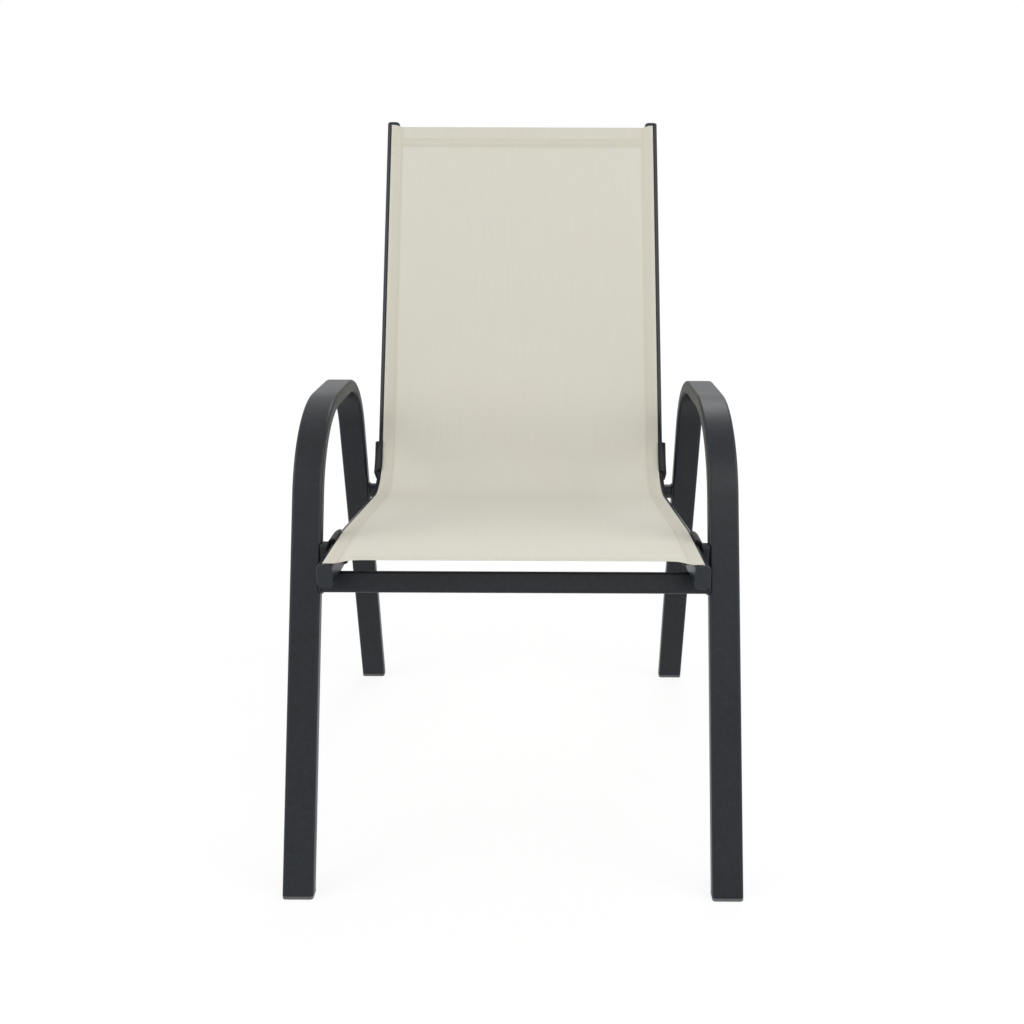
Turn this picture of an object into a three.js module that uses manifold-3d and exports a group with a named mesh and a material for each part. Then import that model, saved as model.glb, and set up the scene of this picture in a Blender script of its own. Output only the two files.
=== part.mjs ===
// Stacking sling chair for the patio: two bent side frames, two grooved sling rails,
// two crossbars and one stretched sheet of mesh cloth.
//
// Lengths are in millimetres. +X is the right-hand side seen from the front, +Y is
// rearwards and +Z is up. The chair faces -Y. While it is built, y is 0 at the front
// of the front feet and z is 0 on the floor. The last lines move the middle of the
// chair's box to the origin.

import * as THREE from 'three';
import { mergeVertices } from 'three/addons/utils/BufferGeometryUtils.js';
import Module from 'manifold-3d';

const wasm = await Module();
wasm.setup();

const degrees = (angle) => (angle * Math.PI) / 180;

// Side frames: the flat tube that makes front leg, arm and rear leg
const FRAME_WIDTH = 561;
const FOOTPRINT_DEPTH = 605;
const ARM_HEIGHT = 557.5;
const FRONT_LEG_LEAN = degrees(22.7);
const REAR_LEG_LEAN = degrees(9.6);
const FRONT_ARM_BEND = 155;
const REAR_ARM_BEND = 92;
const LEG_BREADTH = 38;
const LEG_THICKNESS = 18;
const LEG_CORNER = 4;
const LEG_WALL = 1.4;

// Sling rails: seat and back in one bent tube, with a groove for the cloth
const RAIL_FRONT = 104;
const SEAT_HEIGHT = 399;
const SEAT_LEVEL_RUN = 112;
const SEAT_FALL = degrees(5.4);
const SEAT_FRONT_BEND = 320;
const SEAT_BACK_BEND = 90;
const SEAT_CORNER_DEPTH = 505;
const BACK_RECLINE = degrees(23.2);
const BACK_HEIGHT = 913;
const RAIL_TOE_IN = degrees(1.5);
const RAIL_BREADTH = 19;
const RAIL_DEPTH = 30;
const RAIL_CORNER = 6.5;
const RAIL_WALL = 1.6;
const GROOVE_SLOT = 3;
const GROOVE_RADIUS = 3.6;
const GROOVE_DEPTH = 6.2;
const GROOVE_OUTBOARD = 1;

// Crossbars
const FRONT_BAR_TALL = 27;
const FRONT_BAR_THICKNESS = 18;
const FRONT_BAR_CORNER = 4;
const REAR_BAR_RADIUS = 11;
const BAR_WALL = 1.4;

// Cloth, and the rods that lock it in the grooves
const CLOTH_THICKNESS = 1;
const CLOTH_NECK = 2.2;
const CLOTH_BEAD_RADIUS = 3.1;
const CLOTH_BORE_RADIUS = 2.3;
const CLOTH_FRONT_MARGIN = 11;
const CLOTH_TOP_MARGIN = 5;
const SPLINE_RADIUS = 1.8;
const SPLINE_MARGIN = 4;
const SEAT_SAG = 5;
const BACK_SAG = 3;

// Plastic pieces
const FOOT_SOLE = 5;
const FOOT_STEM = 24;
const FOOT_EDGE = 1.5;
const CAP_RIM = 4;
const CAP_STEM = 14;
const CAP_EDGE = 1.2;
const BACK_BUMPER_LENGTH = 53;
const BACK_BUMPER_BELOW_BEND = 32;
const SEAT_BUMPER_LENGTH = 36;
const SEAT_BUMPER_BEHIND_SPACER = 1;
const BUMPER_THICKNESS = 5;
const BUMPER_WRAP = degrees(50);
const FRONT_GAP = 9.5;
const SPACER_ABOVE_RAIL = 3;
const SPACER_UNDERCUT = 1;
const SPACER_DEEP = 17;
const SPACER_CORNER = 4;
const SADDLE_THICKNESS = 11.4;
const SADDLE_BREADTH = 17;
const SADDLE_HALF_WIDTH = 12;
const SADDLE_WRAP = 4;

// Fasteners
const BOLT_RADIUS = 2.5;
const BOLT_HEAD_RADIUS = 4.8;
const BOLT_HEAD_HEIGHT = 2.8;
const BOLT_SOCKET_RADIUS = 1.8;
const BOLT_SOCKET_DEPTH = 1.5;
const BOLT_POINT = 0.7;
const BOLT_TIP = 1.5;
const WASHER_RADIUS = 5.2;
const WASHER_THICKNESS = 1.2;
const NUT_RADIUS = 4.6;
const NUT_HEIGHT = 4;

// Clearances, and the overrun of a cutter past what it cuts
const SEAT_GAP = 0.3;
const CURVE_GAP = 0.3;
const BORE_GAP = 0.35;
const OVERRUN = 40;

// Fineness of the facets
const BEND_STEP = degrees(7.5);
const CORNER_FACETS = 2;
const ROUND_FACETS = 24;
const BEAD_FACETS = 8;
const BORE_FACETS = 6;
const CLOTH_COLUMNS = 8;
const CLOTH_RUN_PARTS = 4;

// Places shared by several pieces
const LEFT = -1;
const RIGHT = 1;
const HALF_LEG = LEG_THICKNESS / 2;
const HALF_RAIL = RAIL_DEPTH / 2;
const RAIL_SIDE = RAIL_BREADTH / 2;
const FRAME_CENTRE_X = (FRAME_WIDTH - LEG_BREADTH) / 2;
const FRAME_INNER_X = FRAME_WIDTH / 2 - LEG_BREADTH;
const GROOVE_HEIGHT = HALF_RAIL - GROOVE_DEPTH;
const CHAMBER_LOW = RAIL_WALL - HALF_RAIL;
const CHAMBER_HIGH = GROOVE_HEIGHT - GROOVE_RADIUS - RAIL_WALL;
const CHAMBER_MIDDLE = (CHAMBER_LOW + CHAMBER_HIGH) / 2;

// Finishes
const frameFinish = { color: 0x31363b, roughness: 0.45, metalness: 0.3 };
const plasticFinish = { color: 0x26282b, roughness: 0.6, metalness: 0 };
const capFinish = { color: 0x4b5157, roughness: 0.55, metalness: 0 };
const steelFinish = { color: 0x2b2d30, roughness: 0.4, metalness: 0.8 };
const clothFinish = { color: 0xd5d1c5, roughness: 0.85, metalness: 0 };
const splineFinish = { color: 0xb9b8b2, roughness: 0.6, metalness: 0 };

// Solids

function toSolid(geometry) {
  const bare = geometry.clone();
  bare.deleteAttribute('normal');
  bare.deleteAttribute('uv');
  const merged = mergeVertices(bare);
  return new wasm.Manifold(
    new wasm.Mesh({
      numProp: 3,
      vertProperties: Float32Array.from(merged.attributes.position.array),
      triVerts: Uint32Array.from(merged.index.array),
    })
  );
}

function toGeometry(solid) {
  const mesh = solid.getMesh();
  const geometry = new THREE.BufferGeometry();
  geometry.setAttribute('position', new THREE.BufferAttribute(mesh.vertProperties, 3));
  geometry.setIndex(new THREE.BufferAttribute(mesh.triVerts, 1));
  geometry.computeVertexNormals();
  return geometry;
}

function cut(geometry, ...cutters) {
  let solid = toSolid(geometry);
  for (const cutter of cutters) {
    solid = solid.subtract(toSolid(cutter));
  }
  return toGeometry(solid);
}

function join(geometry, other) {
  return toGeometry(toSolid(geometry).add(toSolid(other)));
}

// A round rod between two points, for drilling and for seats
function rodBetween(from, to, radius) {
  const axis = to.clone().sub(from);
  const rod = new THREE.CylinderGeometry(radius, radius, axis.length(), ROUND_FACETS);
  const upright = new THREE.Vector3(0, 1, 0);
  rod.applyQuaternion(new THREE.Quaternion().setFromUnitVectors(upright, axis.normalize()));
  const middle = from.clone().add(to).multiplyScalar(0.5);
  return rod.translate(middle.x, middle.y, middle.z);
}

// Everything below a level
function groundBlock(level) {
  const block = new THREE.BoxGeometry(2 * FRAME_WIDTH, 4 * FOOTPRINT_DEPTH, OVERRUN);
  return block.translate(0, 0, level - OVERRUN / 2);
}

// Outlines

function roundedOutline(breadth, depth, radius, outline = new THREE.Shape()) {
  const x = breadth / 2 - radius;
  const y = depth / 2 - radius;
  outline.absarc(x, y, radius, 0, degrees(90), false);
  outline.absarc(-x, y, radius, degrees(90), degrees(180), false);
  outline.absarc(-x, -y, radius, degrees(180), degrees(270), false);
  outline.absarc(x, -y, radius, degrees(270), degrees(360), false);
  outline.closePath();
  return outline;
}

function circleOutline(radius, outline = new THREE.Shape(), y = 0) {
  for (const start of [0, 90, 180, 270]) {
    outline.absarc(0, y, radius, degrees(start), degrees(start + 90), false);
  }
  outline.closePath();
  return outline;
}

function withHole(outline, hole) {
  outline.holes.push(hole);
  return outline;
}

function tubeOutline(breadth, depth, corner, wall) {
  const hollow = new THREE.Path();
  roundedOutline(breadth - 2 * wall, depth - 2 * wall, corner - wall, hollow);
  return withHole(roundedOutline(breadth, depth, corner), hollow);
}

// The hollow of a rail below its groove or, with a clearance, the stem that plugs it
function chamberOutline(clearance, outline) {
  const x = RAIL_SIDE - RAIL_WALL - clearance;
  const low = CHAMBER_LOW + clearance;
  const high = CHAMBER_HIGH - clearance;
  const round = RAIL_CORNER - RAIL_WALL - clearance;
  outline.absarc(x - RAIL_WALL, high - RAIL_WALL, RAIL_WALL, 0, degrees(90), false);
  outline.absarc(-x + RAIL_WALL, high - RAIL_WALL, RAIL_WALL, degrees(90), degrees(180), false);
  outline.absarc(-x + round, low + round, round, degrees(180), degrees(270), false);
  outline.absarc(x - round, low + round, round, degrees(270), degrees(360), false);
  outline.closePath();
  return outline;
}

// A rail's section: rounded tube, hollow below, with a keyhole groove in its upper face.
// The groove lies a little outboard. Along a path an outline's x runs towards -X.
function railOutline(side) {
  const grooveX = -side * GROOVE_OUTBOARD;
  const x = RAIL_SIDE - RAIL_CORNER;
  const y = HALF_RAIL - RAIL_CORNER;
  const mouth = Math.asin(GROOVE_SLOT / 2 / GROOVE_RADIUS);
  const keyholeTurns = [degrees(90) - mouth, degrees(-30), degrees(-150), degrees(-270) + mouth];
  const outline = new THREE.Shape();
  outline.absarc(-x, y, RAIL_CORNER, degrees(90), degrees(180), false);
  outline.absarc(-x, -y, RAIL_CORNER, degrees(180), degrees(270), false);
  outline.absarc(x, -y, RAIL_CORNER, degrees(270), degrees(360), false);
  outline.absarc(x, y, RAIL_CORNER, 0, degrees(90), false);
  outline.lineTo(grooveX + GROOVE_SLOT / 2, HALF_RAIL);
  for (let turn = 0; turn < keyholeTurns.length - 1; turn += 1) {
    const [from, to] = keyholeTurns.slice(turn, turn + 2);
    outline.absarc(grooveX, GROOVE_HEIGHT, GROOVE_RADIUS, from, to, true);
  }
  outline.lineTo(grooveX - GROOVE_SLOT / 2, HALF_RAIL);
  outline.closePath();
  return withHole(outline, chamberOutline(0, new THREE.Path()));
}

// Paths in the side plane: straight runs joined by bends

function headingBetween(from, to) {
  return Math.atan2(to.z - from.z, to.y - from.y);
}

function along(point, heading, distance) {
  return { y: point.y + Math.cos(heading) * distance, z: point.z + Math.sin(heading) * distance };
}

// A station moved square to its path, which on a rail is towards the sitter
function raised(station, height) {
  return { ...station, ...along(station, station.heading + degrees(90), height) };
}

class SidePath {
  constructor(corners) {
    this.pieces = [];
    this.length = 0;
    let start = corners[0];
    for (let index = 1; index < corners.length - 1; index += 1) {
      const corner = corners[index];
      const before = headingBetween(corners[index - 1], corner);
      const after = headingBetween(corner, corners[index + 1]);
      const reach = corner.bend * Math.tan(Math.abs(after - before) / 2);
      const bendStart = along(corner, before, -reach);
      this.addRun(start, bendStart);
      this.addBend(bendStart, before, after - before, corner.bend);
      start = along(corner, after, reach);
    }
    this.addRun(start, corners[corners.length - 1]);
  }

  add(piece) {
    this.pieces.push({ ...piece, start: this.length, end: this.length + piece.length });
    this.length += piece.length;
  }

  addRun(from, to) {
    const heading = headingBetween(from, to);
    const length = Math.hypot(to.y - from.y, to.z - from.z);
    this.add({ length, at: (distance) => ({ ...along(from, heading, distance), heading }) });
  }

  addBend(from, heading, turn, radius) {
    const sense = Math.sign(turn);
    const centre = along(from, heading + degrees(90), sense * radius);
    const at = (distance) => {
      const now = heading + (sense * distance) / radius;
      return { ...along(centre, now + degrees(90), -sense * radius), heading: now };
    };
    const parts = Math.ceil(Math.abs(turn) / BEND_STEP);
    this.add({ length: Math.abs(turn) * radius, parts, centre, at });
  }

  bend(count) {
    return this.pieces.filter((piece) => piece.parts)[count];
  }

  at(distance) {
    const last = this.pieces[this.pieces.length - 1];
    const piece = this.pieces.find(({ end }) => distance < end) ?? last;
    return { ...piece.at(distance - piece.start), distance };
  }

  // Stations between two distances: both ends, and the parts of the pieces between them
  stations(from = 0, to = this.length, runParts = 1) {
    const distances = [from];
    for (const { start, length, parts = runParts } of this.pieces) {
      for (let part = 1; part <= parts; part += 1) {
        const distance = start + (length * part) / parts;
        if (distance > from + SEAT_GAP && distance < to - SEAT_GAP) {
          distances.push(distance);
        }
      }
    }
    distances.push(to);
    return distances.map((distance) => this.at(distance));
  }

  // The distance at which the path, which only runs rearwards, reaches a depth
  distanceAtDepth(y) {
    let low = 0;
    let high = this.length;
    for (let halving = 0; halving < 40; halving += 1) {
      const middle = (low + high) / 2;
      [low, high] = this.at(middle).y < y ? [middle, high] : [low, middle];
    }
    return low;
  }
}

// A curve through stations, whose sections stand square to it in the side plane
class StationCurve extends THREE.Curve {
  constructor(stations) {
    super();
    this.stations = stations;
  }

  station(share) {
    return this.stations[Math.round(share * (this.stations.length - 1))];
  }

  getPointAt(share, target = new THREE.Vector3()) {
    const { y, z } = this.station(share);
    return target.set(0, y, z);
  }

  computeFrenetFrames(steps) {
    const frames = { tangents: [], normals: [], binormals: [] };
    for (let step = 0; step <= steps; step += 1) {
      const { heading } = this.station(step / steps);
      frames.tangents.push(new THREE.Vector3(0, Math.cos(heading), Math.sin(heading)));
      frames.normals.push(new THREE.Vector3(-1, 0, 0));
      frames.binormals.push(new THREE.Vector3(0, -Math.sin(heading), Math.cos(heading)));
    }
    return frames;
  }
}

function extrudeAlong(outline, stations) {
  return new THREE.ExtrudeGeometry(outline, {
    steps: stations.length - 1,
    curveSegments: CORNER_FACETS,
    extrudePath: new StationCurve(stations),
  });
}

function extrudeStraight(outline, depth, curveSegments = CORNER_FACETS) {
  return new THREE.ExtrudeGeometry(outline, { depth, curveSegments, bevelEnabled: false });
}

// An outline of the side plane, its x rearwards and its y up, extruded across the chair
function extrudeAcross(outline, from, to, curveSegments = CORNER_FACETS) {
  const across = new THREE.Matrix4().makeBasis(
    new THREE.Vector3(0, 1, 0),
    new THREE.Vector3(0, 0, 1),
    new THREE.Vector3(1, 0, 0)
  );
  const block = extrudeStraight(outline, to - from, curveSegments);
  return block.applyMatrix4(across).translate(from, 0, 0);
}

// An outline with rounded edges, from z = 0 up
function roundedPlate(outline, thickness, edge) {
  const plate = new THREE.ExtrudeGeometry(outline, {
    depth: thickness - 2 * edge,
    curveSegments: CORNER_FACETS,
    bevelSize: edge,
    bevelThickness: edge,
    bevelOffset: -edge,
    bevelSegments: 2,
  });
  return plate.translate(0, 0, edge);
}

// The side frame's path runs from the front foot over the arm to the rear foot
const armZ = ARM_HEIGHT - HALF_LEG;

function frontLegY(z) {
  return HALF_LEG / Math.cos(FRONT_LEG_LEAN) + z * Math.tan(FRONT_LEG_LEAN);
}

function rearLegY(z) {
  return FOOTPRINT_DEPTH - HALF_LEG / Math.cos(REAR_LEG_LEAN) - z * Math.tan(REAR_LEG_LEAN);
}

const framePath = new SidePath([
  { y: frontLegY(-LEG_THICKNESS), z: -LEG_THICKNESS },
  { y: frontLegY(armZ), z: armZ, bend: FRONT_ARM_BEND },
  { y: rearLegY(armZ), z: armZ, bend: REAR_ARM_BEND },
  { y: rearLegY(-LEG_THICKNESS), z: -LEG_THICKNESS },
]);

// The rail's path runs from the front of the seat to the top of the back
const seatZ = SEAT_HEIGHT - HALF_RAIL;
const railFront = { y: RAIL_FRONT, z: seatZ };
const levelEnd = { y: RAIL_FRONT + SEAT_LEVEL_RUN, z: seatZ, bend: SEAT_FRONT_BEND };
const fallLength = (SEAT_CORNER_DEPTH - levelEnd.y) / Math.cos(SEAT_FALL);
const seatCorner = { ...along(levelEnd, -SEAT_FALL, fallLength), bend: SEAT_BACK_BEND };
const backLength = (BACK_HEIGHT - seatCorner.z) / Math.cos(BACK_RECLINE);
const railTop = along(seatCorner, degrees(90) - BACK_RECLINE, backLength);
const railPath = new SidePath([railFront, levelEnd, seatCorner, railTop]);
const seatBackBend = railPath.bend(1);

// Each rail stands in a plane turned about the vertical, so that the back is narrower
const frontJointZ = seatZ + CHAMBER_MIDDLE;
const frontJointY = frontLegY(frontJointZ);
const railFrontX =
  FRAME_INNER_X - FRONT_GAP - RAIL_SIDE / Math.cos(RAIL_TOE_IN) + frontJointY * Math.tan(RAIL_TOE_IN);

function railMatrix(side) {
  return new THREE.Matrix4().makeRotationZ(side * RAIL_TOE_IN).setPosition(side * railFrontX, 0, 0);
}

// A point of a rail in the chair: outboard of its middle, and height above its centre line
function railPoint(side, station, outboard, height) {
  const { y, z } = raised(station, height);
  return new THREE.Vector3(side * outboard, y, z).applyMatrix4(railMatrix(side));
}

// A cutter placed in the chair, as a rail sees it
function inRail(side, cutter) {
  return cutter.applyMatrix4(railMatrix(side).invert());
}

// The front crossbar lies against the undersides of the rails and leans with the legs
const frontBarReach =
  (FRONT_BAR_TALL / 2 - FRONT_BAR_CORNER) * Math.cos(FRONT_LEG_LEAN) +
  (FRONT_BAR_THICKNESS / 2 - FRONT_BAR_CORNER) * Math.sin(FRONT_LEG_LEAN) +
  FRONT_BAR_CORNER;
const frontBarZ = seatZ - HALF_RAIL - SEAT_GAP - frontBarReach;

// The rear crossbar lies on the middle lines of the rear legs, a saddle's thickness behind
// the bends of the rails. Its middle is where those lines meet a circle about the bends.
function rearBar() {
  const { centre } = seatBackBend;
  const reach = SEAT_BACK_BEND + HALF_RAIL + SADDLE_THICKNESS + REAR_BAR_RADIUS;
  const slope = Math.tan(REAR_LEG_LEAN) / Math.cos(RAIL_TOE_IN);
  const behind = rearLegY(centre.z) / Math.cos(RAIL_TOE_IN) - centre.y;
  const square = 1 + slope ** 2;
  const root = Math.sqrt((behind * slope) ** 2 - square * (behind ** 2 - reach ** 2));
  const z = centre.z + (behind * slope - root) / square;
  return { y: rearLegY(z), z };
}

const rearBarMiddle = rearBar();

// Front joint: a bolt along X through the rail and a spacer into the front leg.
// Its places are distances from the middle plane of the chair.
function frontJoint(side) {
  const station = railPath.at(railPath.distanceAtDepth(frontJointY / Math.cos(RAIL_TOE_IN)));
  const inner = railPoint(side, station, -RAIL_SIDE, CHAMBER_MIDDLE);
  const outer = railPoint(side, station, RAIL_SIDE, CHAMBER_MIDDLE);
  const washer = Math.abs(inner.x) - SEAT_GAP - WASHER_RADIUS * Math.tan(RAIL_TOE_IN);
  const nut = FRAME_INNER_X + LEG_WALL + SEAT_GAP;
  return {
    at: (x) => new THREE.Vector3(side * x, inner.y, inner.z),
    axis: new THREE.Vector3(side, 0, 0),
    upright: new THREE.Vector3(0, Math.sin(FRONT_LEG_LEAN), Math.cos(FRONT_LEG_LEAN)),
    head: washer - WASHER_THICKNESS - SEAT_GAP,
    washer: washer - WASHER_THICKNESS,
    spacer: Math.abs(outer.x) + SEAT_GAP + (SPACER_DEEP / 2) * Math.tan(RAIL_TOE_IN),
    spacerEnd: FRAME_INNER_X - SEAT_GAP,
    nut,
    tip: nut + NUT_HEIGHT + BOLT_TIP,
  };
}

// Rear joint: a bolt from behind through the crossbar and a saddle into the rail's bend.
// Its places are distances from the crossbar's middle, in the plane of the rail.
function rearJoint() {
  const bar = { y: rearBarMiddle.y / Math.cos(RAIL_TOE_IN), z: rearBarMiddle.z };
  const { centre } = seatBackBend;
  const heading = headingBetween(bar, centre);
  const span = Math.hypot(centre.y - bar.y, centre.z - bar.z);
  const rail = span - SEAT_BACK_BEND - HALF_RAIL;
  const washer = -REAR_BAR_RADIUS - SEAT_GAP - WASHER_THICKNESS;
  const nut = rail + RAIL_WALL + SEAT_GAP + CURVE_GAP;
  return {
    at: (distance) => {
      const { y, z } = along(bar, heading, distance);
      return new THREE.Vector3(0, y, z);
    },
    axis: new THREE.Vector3(0, Math.cos(heading), Math.sin(heading)),
    upright: new THREE.Vector3(0, -Math.sin(heading), Math.cos(heading)),
    heading,
    span,
    head: washer - SEAT_GAP,
    washer,
    nut,
    tip: nut + NUT_HEIGHT + BOLT_TIP,
  };
}

// Frame pieces

function sideFrame(side) {
  const outline = tubeOutline(LEG_BREADTH, LEG_THICKNESS, LEG_CORNER, LEG_WALL);
  const tube = extrudeAlong(outline, framePath.stations()).translate(side * FRAME_CENTRE_X, 0, 0);
  const joint = frontJoint(side);
  const drill = rodBetween(joint.at(joint.spacer), joint.at(FRAME_CENTRE_X), BOLT_RADIUS + BORE_GAP);
  return cut(tube, groundBlock(FOOT_SOLE + SEAT_GAP), drill);
}

function slingRail(side) {
  const tube = extrudeAlong(railOutline(side), railPath.stations());
  const front = frontJoint(side);
  const rear = rearJoint();
  const bore = BOLT_RADIUS + BORE_GAP;
  const frontDrill = inRail(side, rodBetween(front.at(front.head), front.at(front.nut), bore));
  const rearDrill = rodBetween(rear.at(0), rear.at(rear.nut), bore);
  return cut(tube, frontDrill, rearDrill);
}

function frontCrossbar() {
  const reach = FRAME_INNER_X - SEAT_GAP;
  const outline = tubeOutline(FRONT_BAR_THICKNESS, FRONT_BAR_TALL, FRONT_BAR_CORNER, BAR_WALL);
  return extrudeAcross(outline, -reach, reach);
}

function rearCrossbar() {
  const reach = FRAME_INNER_X - SEAT_GAP;
  const hollow = circleOutline(REAR_BAR_RADIUS - BAR_WALL, new THREE.Path());
  const outline = withHole(circleOutline(REAR_BAR_RADIUS), hollow);
  const bar = extrudeAcross(outline, -reach, reach, CORNER_FACETS + 1);
  bar.translate(0, rearBarMiddle.y, rearBarMiddle.z);
  const rear = rearJoint();
  const drills = [LEFT, RIGHT].map((side) => {
    const drill = rodBetween(rear.at(rear.head), rear.at(-rear.head), BOLT_RADIUS + BORE_GAP);
    return drill.applyMatrix4(railMatrix(side));
  });
  return cut(bar, ...drills);
}

// Cloth

// How far the middle of the cloth hangs below the line between the rails. The ends
// and the bend are pulled straight.
function sagAt(distance) {
  const fold = (seatBackBend.start + seatBackBend.end) / 2;
  const top = railPath.length - CLOTH_TOP_MARGIN;
  if (distance < fold) {
    return SEAT_SAG * Math.sin((Math.PI * (distance - CLOTH_FRONT_MARGIN)) / (fold - CLOTH_FRONT_MARGIN));
  }
  return BACK_SAG * Math.sin((Math.PI * (distance - fold)) / (top - fold));
}

// A ring about the middle of a groove. Angles grow from the mouth to the outboard side.
function grooveRing(side, station, radius, facets, from, to) {
  const ring = [];
  for (let facet = 0; facet <= facets; facet += 1) {
    const angle = from + ((to - from) * facet) / facets;
    const outboard = GROOVE_OUTBOARD + radius * Math.sin(angle);
    ring.push(railPoint(side, station, outboard, GROOVE_HEIGHT + radius * Math.cos(angle)));
  }
  return ring;
}

// A row of points across the sheet, from the left groove to the right one
function clothRow(station, height) {
  const row = [];
  const left = railPoint(LEFT, station, GROOVE_OUTBOARD - CLOTH_NECK / 2, height);
  const right = railPoint(RIGHT, station, GROOVE_OUTBOARD - CLOTH_NECK / 2, height);
  for (let column = 0; column <= CLOTH_COLUMNS; column += 1) {
    const share = column / CLOTH_COLUMNS;
    const point = left.clone().lerp(right, share);
    const sag = sagAt(station.distance) * 4 * share * (1 - share);
    const { y, z } = raised({ ...station, y: point.y, z: point.z }, -sag);
    row.push(point.set(point.x, y, z));
  }
  return row;
}

// A section of the cloth: the sheet, and in each groove a neck and a bead with a bore
function clothSection(station) {
  const low = HALF_RAIL + SEAT_GAP;
  const high = low + CLOTH_THICKNESS;
  const outer = GROOVE_OUTBOARD + CLOTH_NECK / 2;
  const neck = Math.asin(CLOTH_NECK / 2 / CLOTH_BEAD_RADIUS);
  const round = degrees(360);
  const contour = [
    railPoint(RIGHT, station, outer, high),
    ...clothRow(station, high).reverse(),
    railPoint(LEFT, station, outer, high),
    ...grooveRing(LEFT, station, CLOTH_BEAD_RADIUS, BEAD_FACETS, neck, round - neck),
    ...clothRow(station, low),
    ...grooveRing(RIGHT, station, CLOTH_BEAD_RADIUS, BEAD_FACETS, -neck, neck - round),
  ];
  const bores = [LEFT, RIGHT].map((side) =>
    grooveRing(side, station, CLOTH_BORE_RADIUS, BORE_FACETS, 0, side * round).slice(1)
  );
  return [contour, ...bores];
}

// A closed solid through sections of equal make, each a contour and its bores
function loft(sections) {
  const rows = sections.length;
  const positions = [];
  const indices = [];
  const corners = [];
  sections[0].forEach((firstRing, index) => {
    const count = firstRing.length;
    const start = positions.length / 3;
    sections.forEach((rings) => rings[index].forEach((point) => positions.push(...point)));
    firstRing.forEach((_, item) => corners.push({ first: start + item, last: start + item + (rows - 1) * count }));
    for (let row = 0; row < rows - 1; row += 1) {
      for (let item = 0; item < count; item += 1) {
        const here = start + row * count + item;
        const next = start + row * count + ((item + 1) % count);
        indices.push(here, here + count, next, next, here + count, next + count);
      }
    }
  });
  const flat = sections[0].map((ring) => ring.map(({ x, z }) => new THREE.Vector2(x, z)));
  for (const face of THREE.ShapeUtils.triangulateShape(flat[0], flat.slice(1))) {
    const [a, b, c] = face.map((corner) => corners[corner]);
    indices.push(a.first, b.first, c.first, c.last, b.last, a.last);
  }
  const geometry = new THREE.BufferGeometry();
  geometry.setAttribute('position', new THREE.Float32BufferAttribute(positions, 3));
  geometry.setIndex(indices);
  geometry.computeVertexNormals();
  return geometry;
}

function slingCloth() {
  const end = railPath.length - CLOTH_TOP_MARGIN;
  return loft(railPath.stations(CLOTH_FRONT_MARGIN, end, CLOTH_RUN_PARTS).map(clothSection));
}

function spline(side) {
  const from = CLOTH_FRONT_MARGIN + SPLINE_MARGIN;
  const to = railPath.length - CLOTH_TOP_MARGIN - SPLINE_MARGIN;
  const stations = railPath.stations(from, to).map((station) => raised(station, GROOVE_HEIGHT));
  return extrudeAlong(circleOutline(SPLINE_RADIUS), stations).translate(side * GROOVE_OUTBOARD, 0, 0);
}

// Plastic pieces

// A plug in the foot of a leg: a level sole, and a stem that leans with the leg
function footPlug(lean) {
  const soleDepth = LEG_THICKNESS / Math.cos(lean);
  const sole = roundedPlate(roundedOutline(LEG_BREADTH, soleDepth, LEG_CORNER), FOOT_SOLE, FOOT_EDGE);
  sole.translate(0, FOOT_SOLE * Math.tan(lean), 0);
  const fit = LEG_WALL + SEAT_GAP;
  const stemOutline = roundedOutline(LEG_BREADTH - 2 * fit, LEG_THICKNESS - 2 * fit, LEG_CORNER - fit);
  const stem = extrudeStraight(stemOutline, FOOT_SOLE + FOOT_STEM).rotateX(-lean);
  return join(sole, cut(stem, groundBlock(FOOT_SOLE / 2)));
}

// A plug in the end of a rail. Its stem runs along +Z from the rail's end at z = 0.
function railCap() {
  const rim = roundedPlate(roundedOutline(RAIL_BREADTH, RAIL_DEPTH, RAIL_CORNER), CAP_RIM, CAP_EDGE);
  rim.translate(0, 0, -CAP_RIM - SEAT_GAP);
  const stem = extrudeStraight(chamberOutline(SEAT_GAP, new THREE.Shape()), CAP_STEM + CAP_RIM / 2);
  stem.translate(0, 0, -CAP_RIM / 2);
  return join(rim, stem);
}

// A stacking pad round the outer side of a rail, from beside the groove to past its far corner
function bumper(side, start, length) {
  const x = RAIL_SIDE - RAIL_CORNER;
  const y = HALF_RAIL - RAIL_CORNER;
  const inner = RAIL_CORNER + SEAT_GAP;
  const outer = inner + BUMPER_THICKNESS;
  const back = degrees(180) + BUMPER_WRAP;
  const outline = new THREE.Shape();
  const arc = (centreY, radius, from, to) => {
    const turned = side === RIGHT ? [from, to, from > to] : [degrees(180) - from, degrees(180) - to, from < to];
    outline.absarc(-side * x, centreY, radius, ...turned);
  };
  arc(y, outer, degrees(90), degrees(180));
  arc(-y, outer, degrees(180), back);
  arc(-y, inner, back, degrees(180));
  arc(y, inner, degrees(180), degrees(90));
  outline.closePath();
  return extrudeAlong(outline, railPath.stations(start, start + length));
}

function backBumper(side) {
  return bumper(side, seatBackBend.end - BACK_BUMPER_BELOW_BEND, BACK_BUMPER_LENGTH);
}

function seatBumper(side) {
  const spacerBack = frontJointY + SPACER_DEEP / 2 + SEAT_BUMPER_BEHIND_SPACER;
  return bumper(side, railPath.distanceAtDepth(spacerBack / Math.cos(RAIL_TOE_IN)), SEAT_BUMPER_LENGTH);
}

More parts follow.
